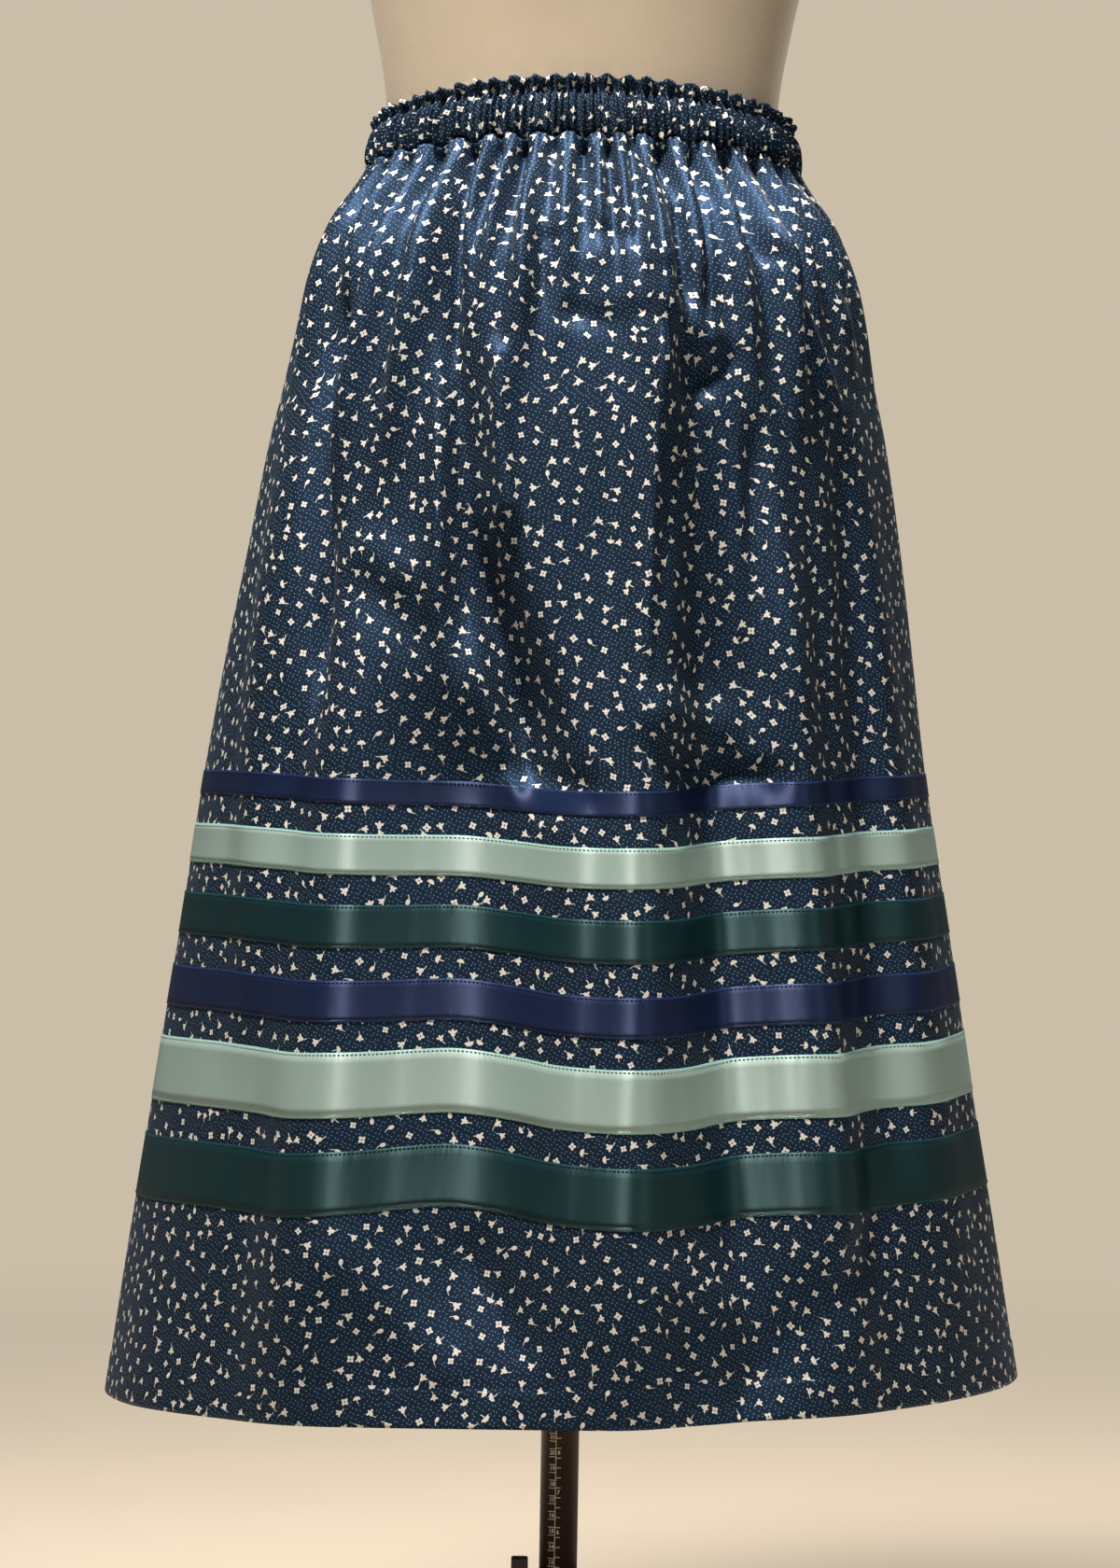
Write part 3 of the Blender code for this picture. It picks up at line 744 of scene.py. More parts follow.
def print_masks(tree, cloth):
    """The motif and pin dot masks on a cloth map in metres."""
    cloth = add_node(
        tree, "ShaderNodeVectorRotate", {"Vector": cloth, "Angle": PRINT_TURN},
        rotation_type="Z_AXIS",
    ).outputs[0]
    cell, dots = (
        add_node(
            tree, "ShaderNodeTexVoronoi",
            {"Vector": cloth, "Scale": 1.0 / (spacing * MM), "Randomness": uneven},
            voronoi_dimensions="2D",
        ).outputs
        for spacing, uneven in ((MOTIF_SPACING, MOTIF_UNEVEN), (DOT_SPACING, DOT_UNEVEN))
    )
    chance = add_node(tree, "ShaderNodeSeparateColor", {"Color": cell["Color"]}).outputs
    red, green, blue = (Number(output) for output in chance)
    local = add_node(
        tree, "ShaderNodeVectorMath", {0: cloth, 1: cell["Position"]}, operation="SUBTRACT",
    )
    size = green.step("MULTIPLY_ADD", MORE_UNITS, UNITS_PER_METRE)
    sized = add_node(
        tree, "ShaderNodeVectorMath", {0: local.outputs[0], "Scale": size}, operation="SCALE",
    )
    aimed = add_node(
        tree, "ShaderNodeVectorRotate",
        {"Vector": sized.outputs[0], "Angle": red.step("MULTIPLY_ADD", 44.0, blue * 31.0)},
        rotation_type="Z_AXIS",
    )
    place = add_node(tree, "ShaderNodeSeparateXYZ", {0: aimed.outputs[0]}).outputs
    motif = None
    for shape, low, high in KINDS:
        chosen = (blue > low - 0.001) * (blue < high)
        drawn = chosen * shape(Number(place[0]), Number(place[1]))
        motif = drawn if motif is None else motif | drawn
    spot = Number(dots["Distance"]) < DOT_RADIUS / DOT_SPACING
    return motif, spot * (Number(cell["Distance"]) > CLEAR_OF_DOTS / MOTIF_SPACING)


print("print:", MOTIF_SPACING, "mm between motifs,", DOT_SPACING, "mm between dots")


# %% The cotton's face and its wrong side
Side = namedtuple("Side", "deep light dots motifs roughness")
FACE = Side("#111A24", "#17222E", 0.85, 1.0, 0.55)
WRONG_SIDE = Side("#4A5D70", "#54677A", 0.15, 0.3, 0.8)
DOT_INK, CREAM_INK = "#7F9CBC", "#DEDCD6"
# Real threads lie about 0.35 mm apart; they are drawn at 0.8 mm so that they show.
THREAD_SPACING = 0.8


def weave_bump(tree, cloth, spacing_mm, strength, depth_mm):
    """Plain weave as two crossed sets of thread ridges."""
    across, along = (
        Number(add_node(
            tree, "ShaderNodeTexWave",
            {"Vector": cloth, "Scale": math.pi / 10 / (spacing_mm * MM), "Distortion": 0.3,
             "Detail": 1.0},
            bands_direction=direction,
        ).outputs["Fac"])
        for direction in ("X", "Y")
    )
    return add_node(
        tree, "ShaderNodeBump",
        {"Strength": strength, "Distance": depth_mm * MM, "Height": across * along},
    ).outputs["Normal"]


def cotton(name, side, gloss):
    """Printed cotton: the bright face, or the paler side that the ink doesn't cover."""
    material, tree, shader, cloth = new_material(name, cloth_map=True)
    motif, dots = print_masks(tree, cloth)
    # Slubs, the thick places in the yarn, come about every 17 mm.
    colour = mottled(tree, cloth, 60.0, 4.0, side.deep, side.light)
    for ink, mask in ((DOT_INK, dots * side.dots), (CREAM_INK, motif * side.motifs)):
        colour = add_node(
            tree, "ShaderNodeMix", {"Factor": mask, "A": colour, "B": ink}, data_type="RGBA",
        ).outputs["Result"]
    fill(shader, {
        "Base Color": colour, "Normal": weave_bump(tree, cloth, THREAD_SPACING, 0.35, 0.12),
        "Roughness": side.roughness, "Specular IOR Level": gloss, "Specular Tint": "#64A6F4",
        "Sheen Weight": 0.02, "Sheen Roughness": 0.4, "Sheen Tint": "#9FC0E8",
    })
    return material


cotton_face = cotton("screen printed cotton, face", FACE, 0.55)
cotton_back = cotton("screen printed cotton, wrong side", WRONG_SIDE, 0.3)
# Between ruched ribs little light gets back out, so the casing's face shines less.
cotton_ruched = cotton("screen printed cotton, ruched", FACE, 0.2)
print("cotton:", [item.name for item in (cotton_face, cotton_back, cotton_ruched)])

# %% [markdown]
# ## Front and back panels
# Each panel runs from side seam to side seam. Rows lie closer near the waist, where the
# gathers are, and the panel ends in a hem that is turned up 24 mm and topstitched: the
# doubled cloth stands a little proud below the stitches.

# %% Build the panels
PANEL_COLUMNS = 300
# The panels' top edge and the casing's inside stop this short of the seam.
SEAM_CLEAR = 0.4
CLOTH_THICKNESS = 0.6 * MM
HEM_DEPTH_MM = 24.0
HEM_PROUD, HEM_PROUD_OVER = 0.5, 4.0
STITCH_DIP, STITCH_DIP_REACH = 0.5, 1.6
# Half the gap between the panels at a side seam, and how much wider it gets at the waist.
SIDE_GAP, SIDE_GAP_AT_WAIST = 0.18 * MM, 0.5 * MM
GAP_WIDENS_FROM, GAP_WIDENS_OVER = 995.0, 10.0
# Rows lie close together under the waist, at the top ribbon and along the hem:
# (down to this height, rows).
ROW_BANDS = (
    (940.0, 44), (800.0, 32), (656.0, 15), (616.0, 20),
    (300.0, 32), (276.0, 5), (266.0, 9), (HEM, 7),
)


def panel_heights():
    """The heights of a panel's rows."""
    heights = [np.array([CASING_SEAM - SEAM_CLEAR])]
    for foot, rows in ROW_BANDS:
        heights.append(np.linspace(heights[-1][-1], foot, rows + 1)[1:])
    return np.concatenate(heights)


def hem_relief(height):
    """The doubled hem stands proud, with a dip along its stitches."""
    above = height - HEM
    proud = HEM_PROUD * smooth((HEM_DEPTH_MM + 3.0 - above) / HEM_PROUD_OVER)
    return proud - STITCH_DIP * np.exp(-((above - HEM_DEPTH_MM) / STITCH_DIP_REACH) ** 2)


for name, start, node, offset in (
    ("cotton_front_panel", -90.0, "skirt_front", 0.0),
    ("cotton_back_panel", 90.0, "skirt_back", 3.0),
):
    turn = np.linspace(start, start + 180.0, PANEL_COLUMNS + 1)
    height = panel_heights()
    points = skirt_points(turn, height, hem_relief(height)[:, None])
    widened = smooth((height - GAP_WIDENS_FROM) / GAP_WIDENS_OVER)
    gap = SIDE_GAP + SIDE_GAP_AT_WAIST * widened
    points[:, (0, -1), 1] += gap[:, None] * (-1.0 if start < 0.0 else 1.0)
    cloth = panel_cloth(turn, height, points, offset)
    data = grid_mesh(name, points, cloth)
    piece = new_piece(name, data, (cotton_face, cotton_back), (node,))
    solidify(piece, CLOTH_THICKNESS, reverse=True)
    print(name, triangle_count(piece), "triangles, hem", round(np.ptp(cloth[-1, :, 0]), 3), "m")

# %% [markdown]
# ## The dress form
# The form is a limbless torso of moulded board, covered in fine cotton jersey. It is one
# smooth loft through level sections, closed at its foot and at its neck. It could be sculpted,
# but a loft through a few sections keeps to its solid. The jersey is knit, so its surface is
# a fine lattice of loops with a soft fuzz, and it shows no gloss.

# %% Sections of the form
FormSection = namedtuple("FormSection", "height half_width front back")
FORM_SECTIONS = [FormSection(*row) for row in (
    (800, 148, 98, 104),
    (810, 160, 108, 114),
    (845, 170, 116, 122),
    (900, 165, 115, 118),
    (960, 149, 109, 106),
    (1005, 131, 101, 96),
    (1030, 126, 98, 93),
    (1050, 125, 97.2, 92.4),
    (1075, 126.8, 98.4, 93.4),
    (1110, 133, 103, 96.5),
    (1165, 144, 116, 102),
    (1225, 150, 129, 106),
    (1275, 149, 119, 108),
    (1330, 150, 98, 107),
    (1380, 164, 80, 98),
    (1408, 168, 68, 86),
    (1432, 140, 58, 74),
    (1452, 92, 52, 64),
    (1470, 60, 49, 56),
    (1520, 54, 48, 52),
)]
WAIST_CLEARANCE = 0.5
FORM_COLUMNS, FORM_ROWS, FORM_GIRTH = 180, 150, 0.9
print("form:", 2 * min(row.half_width for row in FORM_SECTIONS[:12]), "mm wide at the waist")


# %% Loft the form
def loft_form():
    """The torso as one closed mesh, with its cloth map in metres round and up it."""
    turn = np.linspace(0.0, 360.0, FORM_COLUMNS + 1)
    height = np.linspace(FORM_SECTIONS[0].height, FORM_SECTIONS[-1].height, FORM_ROWS + 1)
    height = np.concatenate([height[:1], height[:1] + 0.01, height[1:-1], height[-1:]])
    x, y = oval(rows_at(FORM_SECTIONS, height), np.radians(turn)[None, :], 0.0)
    points = np.stack([x, y, np.broadcast_to(height[:, None], x.shape)], axis=-1) * MM
    middles = points.mean(axis=1, keepdims=True)
    caps = [middles[:1] + (points[:1] - middles[:1]) * share for share in (0.02, 0.5, 0.96)]
    lids = [middles[-1:] + (points[-1:] - middles[-1:]) * share for share in (0.97, 0.5, 0.02)]
    return turn, np.concatenate([*caps, points, *lids])


turn, form_points = loft_form()
form_cloth = cloth_grid(turn / 360.0 * FORM_GIRTH, form_points[:, 0, 2])
form_mesh = grid_mesh("dress_form_torso", form_points[::-1], form_cloth[::-1], closed=True)
shape = bmesh.new()
shape.from_mesh(form_mesh)
bmesh.ops.holes_fill(shape, edges=[edge for edge in shape.edges if edge.is_boundary])
shape.to_mesh(form_mesh)
shape.free()
form_mesh.set_sharp_from_angle(angle=math.radians(50.0))


# %% Cotton jersey
# Real loops are 0.6 mm apart; they are drawn at 1.1 mm so that they show.
LOOP_SPACING = 1.1


def jersey():
    """Fine undyed jersey: loops in courses, a little fuzz, and clouds about 70 mm across."""
    material, tree, shader, cloth = new_material("undyed cotton jersey", cloth_map=True)
    fill(shader, {
        "Base Color": mottled(tree, cloth, 14.0, 5.0, "#B6A893", "#C2B5A0"),
        "Normal": weave_bump(tree, cloth, LOOP_SPACING, 0.4, 0.25),
        "Roughness": 0.92, "Specular IOR Level": 0.25,
        "Sheen Weight": 0.25, "Sheen Roughness": 0.5,
    })
    return material


torso = new_piece("dress_form_torso", form_mesh, (jersey(),), ("form_torso",))

# %% The form's own lights
# The key light is strong, because the skirt is dark. Pale cloth that faces up would burn out
# under it, so the form is left out of it, and has two milder lights that light nothing else.
def light_only(lamp, item, included):
    """Let a lamp light one object alone, or everything except it."""
    group = bpy.data.collections.new(lamp.name + " group")
    group.objects.link(item)
    group.collection_objects[0].light_linking.link_state = "INCLUDE" if included else "EXCLUDE"
    lamp.light_linking.receiver_collection = group


for lamp in (key, back):
    light_only(lamp, torso, False)
for name, place, power in (
    ("form light", (-1.3, -2.4, 2.3), 95.0), ("form back light", (1.5, 2.4, 2.3), 60.0),
):
    light_only(soft_light(name, place, (0.0, 0.0, 1.2), (0.8, 0.8), power, "#FFF6EC"), torso, True)
print("torso:", triangle_count(torso), "triangles")

# %% [markdown]
# ## Waist casing
# The casing is a tube of the same cotton with elastic inside, drawn up until it stands in
# fine upright ribs. Above its upper stitch line the spare cloth makes a small ruffle. The
# ribs and the ruffle are waves round the waist with uneven spacing and depth, so that they
# run on into the cloth below, which ribs made one by one would not. The inside is a plain
# ring that lies against the form.

# %% Ribs, swell and ruffle of the casing
CASING_COLUMNS = 1720
# The casing is cut from a stretch of cloth of its own, well away from the panels' prints.
CASING_CLOTH_FROM, CASING_CLOTH_WIDTH = 6.0, 1.28
CASING_MIDDLE = 1031.0
STITCH_LINE = 1043.0
BAND_SWELL, BAND_SUNK, RUFFLE_FLARE = 4.2, -2.6, 2.8
RIB_DEPTH, RUFFLE_DEPTH, RUFFLE_RIB_DEPTH = 2.5, 2.2, 0.9
RUFFLE_RISE, RUFFLE_DROP, RUFFLE_PACE = 1.3, 0.6, 0.37
FLARE_OVER, RUFFLE_OVER, RIBS_FADE_OVER = 7.0, 6.0, 2.5
WELD_WITHIN = 0.01 * MM


def casing_profile(height):
    """Swell of the band, depth of its ribs, and depth of the ruffle, down the casing."""
    below = STITCH_LINE - height
    band = (height - CASING_SEAM) / (STITCH_LINE - CASING_SEAM)
    bow = BAND_SWELL * np.sqrt(np.clip(4 * band * (1 - band), 0, 1))
    swell = np.where(below > 0, bow + BAND_SUNK, BAND_SUNK)
    swell = swell + np.where(below < 0, RUFFLE_FLARE * smooth(-below / FLARE_OVER), 0.0)
    ribs = np.where(below > 0, 1.0, np.exp(below / RIBS_FADE_OVER))
    ruffle = smooth(-below / RUFFLE_OVER)
    return swell, ribs, ruffle


def casing_out(turn, height):
    """How far the ruched casing stands out of its section."""
    swell, ribs, ruffle = (row[:, None] for row in casing_profile(height))
    angle = np.radians(turn)[None, :]
    phase = rib_phase(turn)[None, :]
    uneven = 0.8 + 0.4 * np.sin(11 * angle + 0.7) * np.sin(29 * angle + 1.3)
    lean = 0.5 * np.sin(7 * angle) * (height[:, None] - CASING_MIDDLE) / 10.0
    crest = np.cos(phase + lean) + 0.3 * np.cos(2 * (phase + lean))
    wave = np.sin(phase * RUFFLE_PACE + 1.2 * np.sin(9 * angle))
    wave = wave + 0.5 * np.sin(phase * 0.61 + 2.0)
    edge = ruffle * (RUFFLE_DEPTH * wave + RUFFLE_RIB_DEPTH * crest)
    return swell + ribs * RIB_DEPTH * uneven * crest + edge


def casing_height(turn, height):
    """The ruffle's edge rises and dips with its waves."""
    ruffle = casing_profile(height)[2][:, None]
    phase = rib_phase(turn)[None, :]
    rise = RUFFLE_RISE * np.sin(phase * RUFFLE_PACE + 0.9) - RUFFLE_DROP
    return height[:, None] + ruffle * rise


def casing_points(turn, height, outward=0.0):
    """Points of the casing's outside in metres."""
    points = skirt_points(turn, height, casing_out(turn, height) + outward, folded=False)
    lift = casing_height(turn, height) - height[:, None] + seam_pull(turn, height[:, None])
    points[:, :, 2] += lift * MM
    return points


def casing_inside(turn, height):
    """The plain inside of the casing, half a millimetre clear of the form."""
    angle = np.radians(turn)[None, :]
    z = level(rows_at(SECTIONS, height), angle)
    x, y = oval(rows_on(FORM_SECTIONS, z), angle, WAIST_CLEARANCE)
    return np.stack([x, y, z], axis=-1) * MM


# %% Build the casing
turn = np.linspace(0.0, 360.0, CASING_COLUMNS + 1)
height = np.concatenate([
    np.linspace(CASING_TOP, STITCH_LINE, 8, endpoint=False),
    np.linspace(STITCH_LINE, CASING_SEAM, 17),
])
outer = casing_points(turn, height)
inner = casing_inside(
    turn, np.array([CASING_TOP - 1.0, STITCH_LINE, CASING_MIDDLE, CASING_SEAM + SEAM_CLEAR]))
ring = np.concatenate([inner[::-1], outer, inner[-1:]], axis=0)
across = np.linspace(0.0, CASING_CLOTH_WIDTH, CASING_COLUMNS + 1) + CASING_CLOTH_FROM
cloth = cloth_grid(across, -length_along(ring[:, 0], 0))
data = grid_mesh("cotton_waist_casing", ring, cloth, closed=True)
casing = new_piece(
    "cotton_waist_casing", data, (cotton_ruched,), ("waist_casing",))
weld = casing.modifiers.new("close the ring", "WELD")
weld.merge_threshold = WELD_WITHIN
print("casing:", triangle_count(casing), "triangles,", RIBS, "ribs")

# %% [markdown]
# ## Satin ribbons
# Polyester satin ribbon has long floats that lie along it, so it mirrors light in a band
# across each fold, from edge to edge. The shader does this with anisotropy along the cloth
# map. Fine ridges run along the ribbon, a firm woven edge borders it, and the sewing draws
# shallow puckers in from both edges.

# %% Satin and its colours
Satin = namedtuple("Satin", "slot colour shade gleam shine")
NAVY = Satin("navy_satin", "#131F3C", "#1B2D58", "#AEC2FF", 0.15)
MINT = Satin("mint_satin", "#9FB2AD", "#7DB2AF", "#FFFFFF", 0.12)
GREEN = Satin("green_satin", "#0B262C", "#103C44", "#BDEAF0", 0.15)
FIRM_EDGE = 0.7
# Patches to a metre along and across the ribbon. Real floats are about 0.1 mm wide; these are
# drawn 1.1 mm wide and 17 mm long so that they show. Puckers are 7 mm by 29 mm.
FLOATS, PUCKERS = (60.0, 900.0, 1.0), (150.0, 35.0, 1.0)


def satin(name, tone, half_width_mm):
    """Satin ribbon, woven lengthwise, with a firm edge."""
    material, tree, shader, cloth = new_material(name, cloth_map=True)
    place = add_node(tree, "ShaderNodeSeparateXYZ", {0: cloth}).outputs
    from_middle = abs(Number(place[1]) * 1000.0)
    edge = from_middle > half_width_mm - FIRM_EDGE
    near_edge = from_middle / half_width_mm
    floats, pucker = (
        Number(add_node(tree, "ShaderNodeTexNoise", {
            "Vector": add_node(
                tree, "ShaderNodeMapping", {"Vector": cloth, "Scale": scale}).outputs[0],
            "Scale": 1.0, "Detail": detail,
        }).outputs["Fac"])
        for scale, detail in ((FLOATS, 3.0), (PUCKERS, 2.0))
    )
    tint = add_node(
        tree, "ShaderNodeMix",
        {"Factor": floats * 0.5 | edge, "A": tone.colour, "B": tone.shade}, data_type="RGBA",
    )
    fine = add_node(
        tree, "ShaderNodeBump", {"Strength": 0.25, "Distance": 0.05 * MM, "Height": floats})
    drawn = add_node(
        tree, "ShaderNodeBump",
        {"Strength": 0.5, "Distance": 0.9 * MM, "Height": pucker * (near_edge * near_edge),
         "Normal": fine.outputs["Normal"]},
    )
    tangent = add_node(tree, "ShaderNodeTangent", direction_type="UV_MAP", uv_map="cloth")
    fill(shader, {
        "Base Color": tint.outputs["Result"], "Normal": drawn.outputs["Normal"],
        "Tangent": tangent.outputs[0], "Anisotropic": 1.0, "Anisotropic Rotation": 0.25,
        "Roughness": 0.6, "IOR": 1.55, "Specular IOR Level": 0.8,
        "Specular Tint": tone.gleam, "Metallic": tone.shine,
    })
    return material


# %% Ribbon bands
Ribbon = namedtuple("Ribbon", "number top bottom width_mm satin")
RIBBONS = (
    Ribbon(1, 637.0, 622.0, 16.0, NAVY), Ribbon(2, 603.5, 579.0, 25.4, MINT),
    Ribbon(3, 560.5, 534.5, 25.4, GREEN), Ribbon(4, 515.0, 490.0, 25.4, NAVY),
    Ribbon(5, 471.5, 432.0, 38.1, MINT), Ribbon(6, 411.0, 372.0, 38.1, GREEN),
)
RIBBON_COLUMNS, RIBBON_ROWS = 1200, 7
RIBBON_LIFT_MM, RIBBON_CROWN_MM, RIBBON_THICKNESS = 0.5, 0.06, 0.22 * MM
TOP_SWING, MORE_SWING, SWING_FROM, SWING_OVER = 0.4, 0.6, 630.0, 180.0
# The drape carries the ribbons up over the deep valley and down over the ridge beside it.
Hang = namedtuple("Hang", "turn lift")
HANGS = [Hang(*row) for row in (
    (-180, 0), (-120, 2), (-90, 0), (-54, 1.4), (-39, 0.8),
    (-32, 2.4), (-26, 4.6), (-21, 7), (-16, 8.4), (-11, 7),
    (-6, 4.4), (-1.5, 1.2), (5, -1.4), (11, -2.4), (16.5, -3),
    (21, -2), (26, -0.8), (33, -0.4), (42, -2.2), (50, -2),
    (90, 0), (140, -2), (180, 0),
)]


def hang(ribbon, turn):
    """How far a ribbon rides up at each turn, in millimetres; the lower ones swing more."""
    middle = (ribbon.top + ribbon.bottom) / 2
    swing = TOP_SWING + MORE_SWING * (SWING_FROM - middle) / SWING_OVER
    return swing * rows_at(HANGS, turn).lift[:, 0]


def ribbon_points(ribbon, turn, share, outward):
    """Points across a ribbon, from share 1 at its top edge to 0 at its bottom edge."""
    middle = ribbon.bottom + (ribbon.top - ribbon.bottom) * share
    height = middle[:, None] + hang(ribbon, turn)[None, :]
    return skirt_points(turn, height, np.reshape(outward, (-1, 1)))


ribbon_pieces = {}
turn = np.linspace(-180.0, 180.0, RIBBON_COLUMNS + 1)
for ribbon in RIBBONS:
    share = np.linspace(1.0, 0.0, RIBBON_ROWS)
    crown = RIBBON_CROWN_MM * np.sqrt(np.clip(4 * share * (1 - share), 0, 1))
    points = ribbon_points(ribbon, turn, share, RIBBON_LIFT_MM + crown)
    along = length_along(points[RIBBON_ROWS // 2], 0)
    cloth = cloth_grid(along, np.linspace(0.5, -0.5, RIBBON_ROWS) * ribbon.width_mm * MM)
    name = f"satin_ribbon_{ribbon.number}"
    finish = satin(f"satin ribbon {ribbon.number}", ribbon.satin, ribbon.width_mm / 2)
    data = grid_mesh(name, points, cloth, closed=True)
    piece = new_piece(name, data, (finish,), (f"ribbon_{ribbon.number}",))
    solidify(piece, RIBBON_THICKNESS)
    ribbon_pieces[ribbon.number] = (piece, along[-1])
    print(name, round(along[-1], 3), "m round,", triangle_count(piece), "triangles")

# %% [markdown]
# ## Stitches
# Machine stitches hold the ribbons, the hem and the casing. Each is a short slug of thread
# lying on the cloth. Geometry Nodes place them: a line of points becomes a curve, the curve
# is resampled at the stitch length, and a low-sided slug is set on each point, turned along
# the line. The result is then made a plain mesh.

# %% A tree that sews along lines
# Half a slug's length as a share of the stitch: the rest is the gap where the thread dips in.
SLUG_SHARE = 0.4


def sewing_tree():
    """Geometry Nodes that lay thread slugs along the edges of a mesh."""
    tree = bpy.data.node_groups.new("sewing", "GeometryNodeTree")
    tree.is_modifier = True
    for name, kind in (
        ("Lines", "NodeSocketGeometry"), ("Stitch length", "NodeSocketFloat"),
        ("Thread width", "NodeSocketFloat"), ("Thread", "NodeSocketMaterial"),
    ):
        tree.interface.new_socket(name, in_out="INPUT", socket_type=kind)
    tree.interface.new_socket("Stitches", in_out="OUTPUT", socket_type="NodeSocketGeometry")
    given = add_node(tree, "NodeGroupInput").outputs
    line = add_node(tree, "GeometryNodeMeshToCurve", {"Mesh": given["Lines"]})
    spaced = add_node(
        tree, "GeometryNodeResampleCurve",
        {"Curve": line.outputs[0], "Length": given["Stitch length"]}, mode="LENGTH",
    )
    slug = add_node(tree, "GeometryNodeMeshUVSphere", {"Segments": 4, "Rings": 3, "Radius": 1.0})
    turned_along = add_node(
        tree, "FunctionNodeAlignRotationToVector",
        {"Vector": add_node(tree, "GeometryNodeInputTangent").outputs[0]}, axis="Z",
    )
    half_width = Number(given["Thread width"]) * 0.5
    size = add_node(
        tree, "ShaderNodeCombineXYZ",
        {"X": half_width, "Y": half_width, "Z": Number(given["Stitch length"]) * SLUG_SHARE},
    )
    placed = add_node(
        tree, "GeometryNodeInstanceOnPoints",
        {"Points": spaced.outputs[0], "Instance": slug.outputs["Mesh"],
         "Rotation": turned_along.outputs[0], "Scale": size.outputs[0]},
    )
    real = add_node(tree, "GeometryNodeRealizeInstances", {"Geometry": placed.outputs[0]})
    threaded = add_node(
        tree, "GeometryNodeSetMaterial",
        {"Geometry": real.outputs[0], "Material": given["Thread"]},
    )
    add_node(tree, "NodeGroupOutput", {"Stitches": threaded.outputs[0]})
    return tree


SEWING = sewing_tree()
print("sewing tree:", len(SEWING.nodes), "nodes")


# %% Sew along lines
def plain_mesh(holder):
    """The finished mesh of an object, which isn't needed after that."""
    shown = holder.evaluated_get(bpy.context.evaluated_depsgraph_get())
    data = bpy.data.meshes.new_from_object(shown)
    bpy.data.objects.remove(holder, do_unlink=True)
    return data


def sew(name, lines, thread, length_mm=2.6, width_mm=0.36):
    """Sew along closed or open lines of points, and return the stitches as one piece."""
    points, edges = [], []
    for line in lines:
        edges += [(len(points) + step, len(points) + step + 1) for step in range(len(line) - 1)]
        points += [tuple(point) for point in line]
    guide = new_mesh(name + "_line", points, (), edges)
    holder = put(name + "_line", guide)
    modifier = holder.modifiers.new("sewing", "NODES")
    modifier.node_group = SEWING
    values = {"Stitch length": length_mm * MM, "Thread width": width_mm * MM, "Thread": thread}
    for socket in SEWING.interface.items_tree:
        if socket.in_out == "INPUT" and socket.name in values:
            modifier[socket.identifier] = values[socket.name]
    data = plain_mesh(holder)
    data.name = name
    bpy.data.meshes.remove(guide)
    data.materials.clear()
    data.shade_smooth()
    return new_piece(name, data, (thread,))


# %% Thread, and where it runs
def polyester_thread(name, colour):
    """Spun polyester thread: twisted every 0.4 mm, with a low gleam."""
    material, tree, shader, place = new_material(name)
    twist = add_node(
        tree, "ShaderNodeTexNoise", {"Vector": place, "Scale": 2500.0, "Detail": 1.0})
    light = Number(twist.outputs["Fac"]).step("MULTIPLY_ADD", 0.5, 0.75)
    tint = add_node(tree, "ShaderNodeHueSaturation", {"Color": colour, "Value": light})
    fill(shader, {"Base Color": tint.outputs[0], "Roughness": 0.5})
    return material


EDGE_INSET, HEM_THREAD_SUNK, CASING_THREAD_OUT = 1.1, -0.3, 0.15
THREAD_OUT_MM = RIBBON_LIFT_MM + 0.22
RIBBON_LINE_POINTS, CASING_LINE_POINTS = 721, 1441
THREADS = {"navy_satin": "#1D2A4C", "mint_satin": "#A9BBAE", "green_satin": "#16383C"}
ribbon_threads = {
    slot: polyester_thread("polyester thread, " + slot.split("_")[0], colour)
    for slot, colour in THREADS.items()
}
turn = np.linspace(-180.0, 180.0, RIBBON_LINE_POINTS)
ribbon_stitches = {}
for ribbon in RIBBONS:
    slot = ribbon.satin.slot
    inset = EDGE_INSET / (ribbon.top - ribbon.bottom)
    lines = ribbon_points(ribbon, turn, np.array([1.0 - inset, inset]), THREAD_OUT_MM)
    ribbon_stitches[ribbon.number] = sew(
        f"thread_ribbon_{ribbon.number}", lines, ribbon_threads[slot])
dark_thread = polyester_thread("polyester thread, dark navy", "#1A2C46")
hem_line = skirt_points(turn, np.array([HEM + HEM_DEPTH_MM]), HEM_THREAD_SUNK)
sew("thread_hem", hem_line, dark_thread)
waist_turn = np.linspace(0.0, 360.0, CASING_LINE_POINTS)
waist_line = casing_points(waist_turn, np.array([STITCH_LINE]), CASING_THREAD_OUT)
casing_stitches = sew("thread_casing", waist_line, dark_thread)
print("stitches:", sum(triangle_count(piece) for piece in ribbon_stitches.values()), "triangles")

# %% [markdown]
# ## Painted metal
# The pole is drawn steel tube with a dark brown powder coat, and the foot, its legs, the
# clamp tab and the flange under the torso are cast iron and bar, sprayed satin black-brown.
# Their shapes are the frame's own solids, except the pole, which is made again with more
# sides so that it looks round. Paint needs three things to read as paint: a fine orange peel
# in its surface, a slight change of tone from place to place, and fewer scratches than one
# thinks.

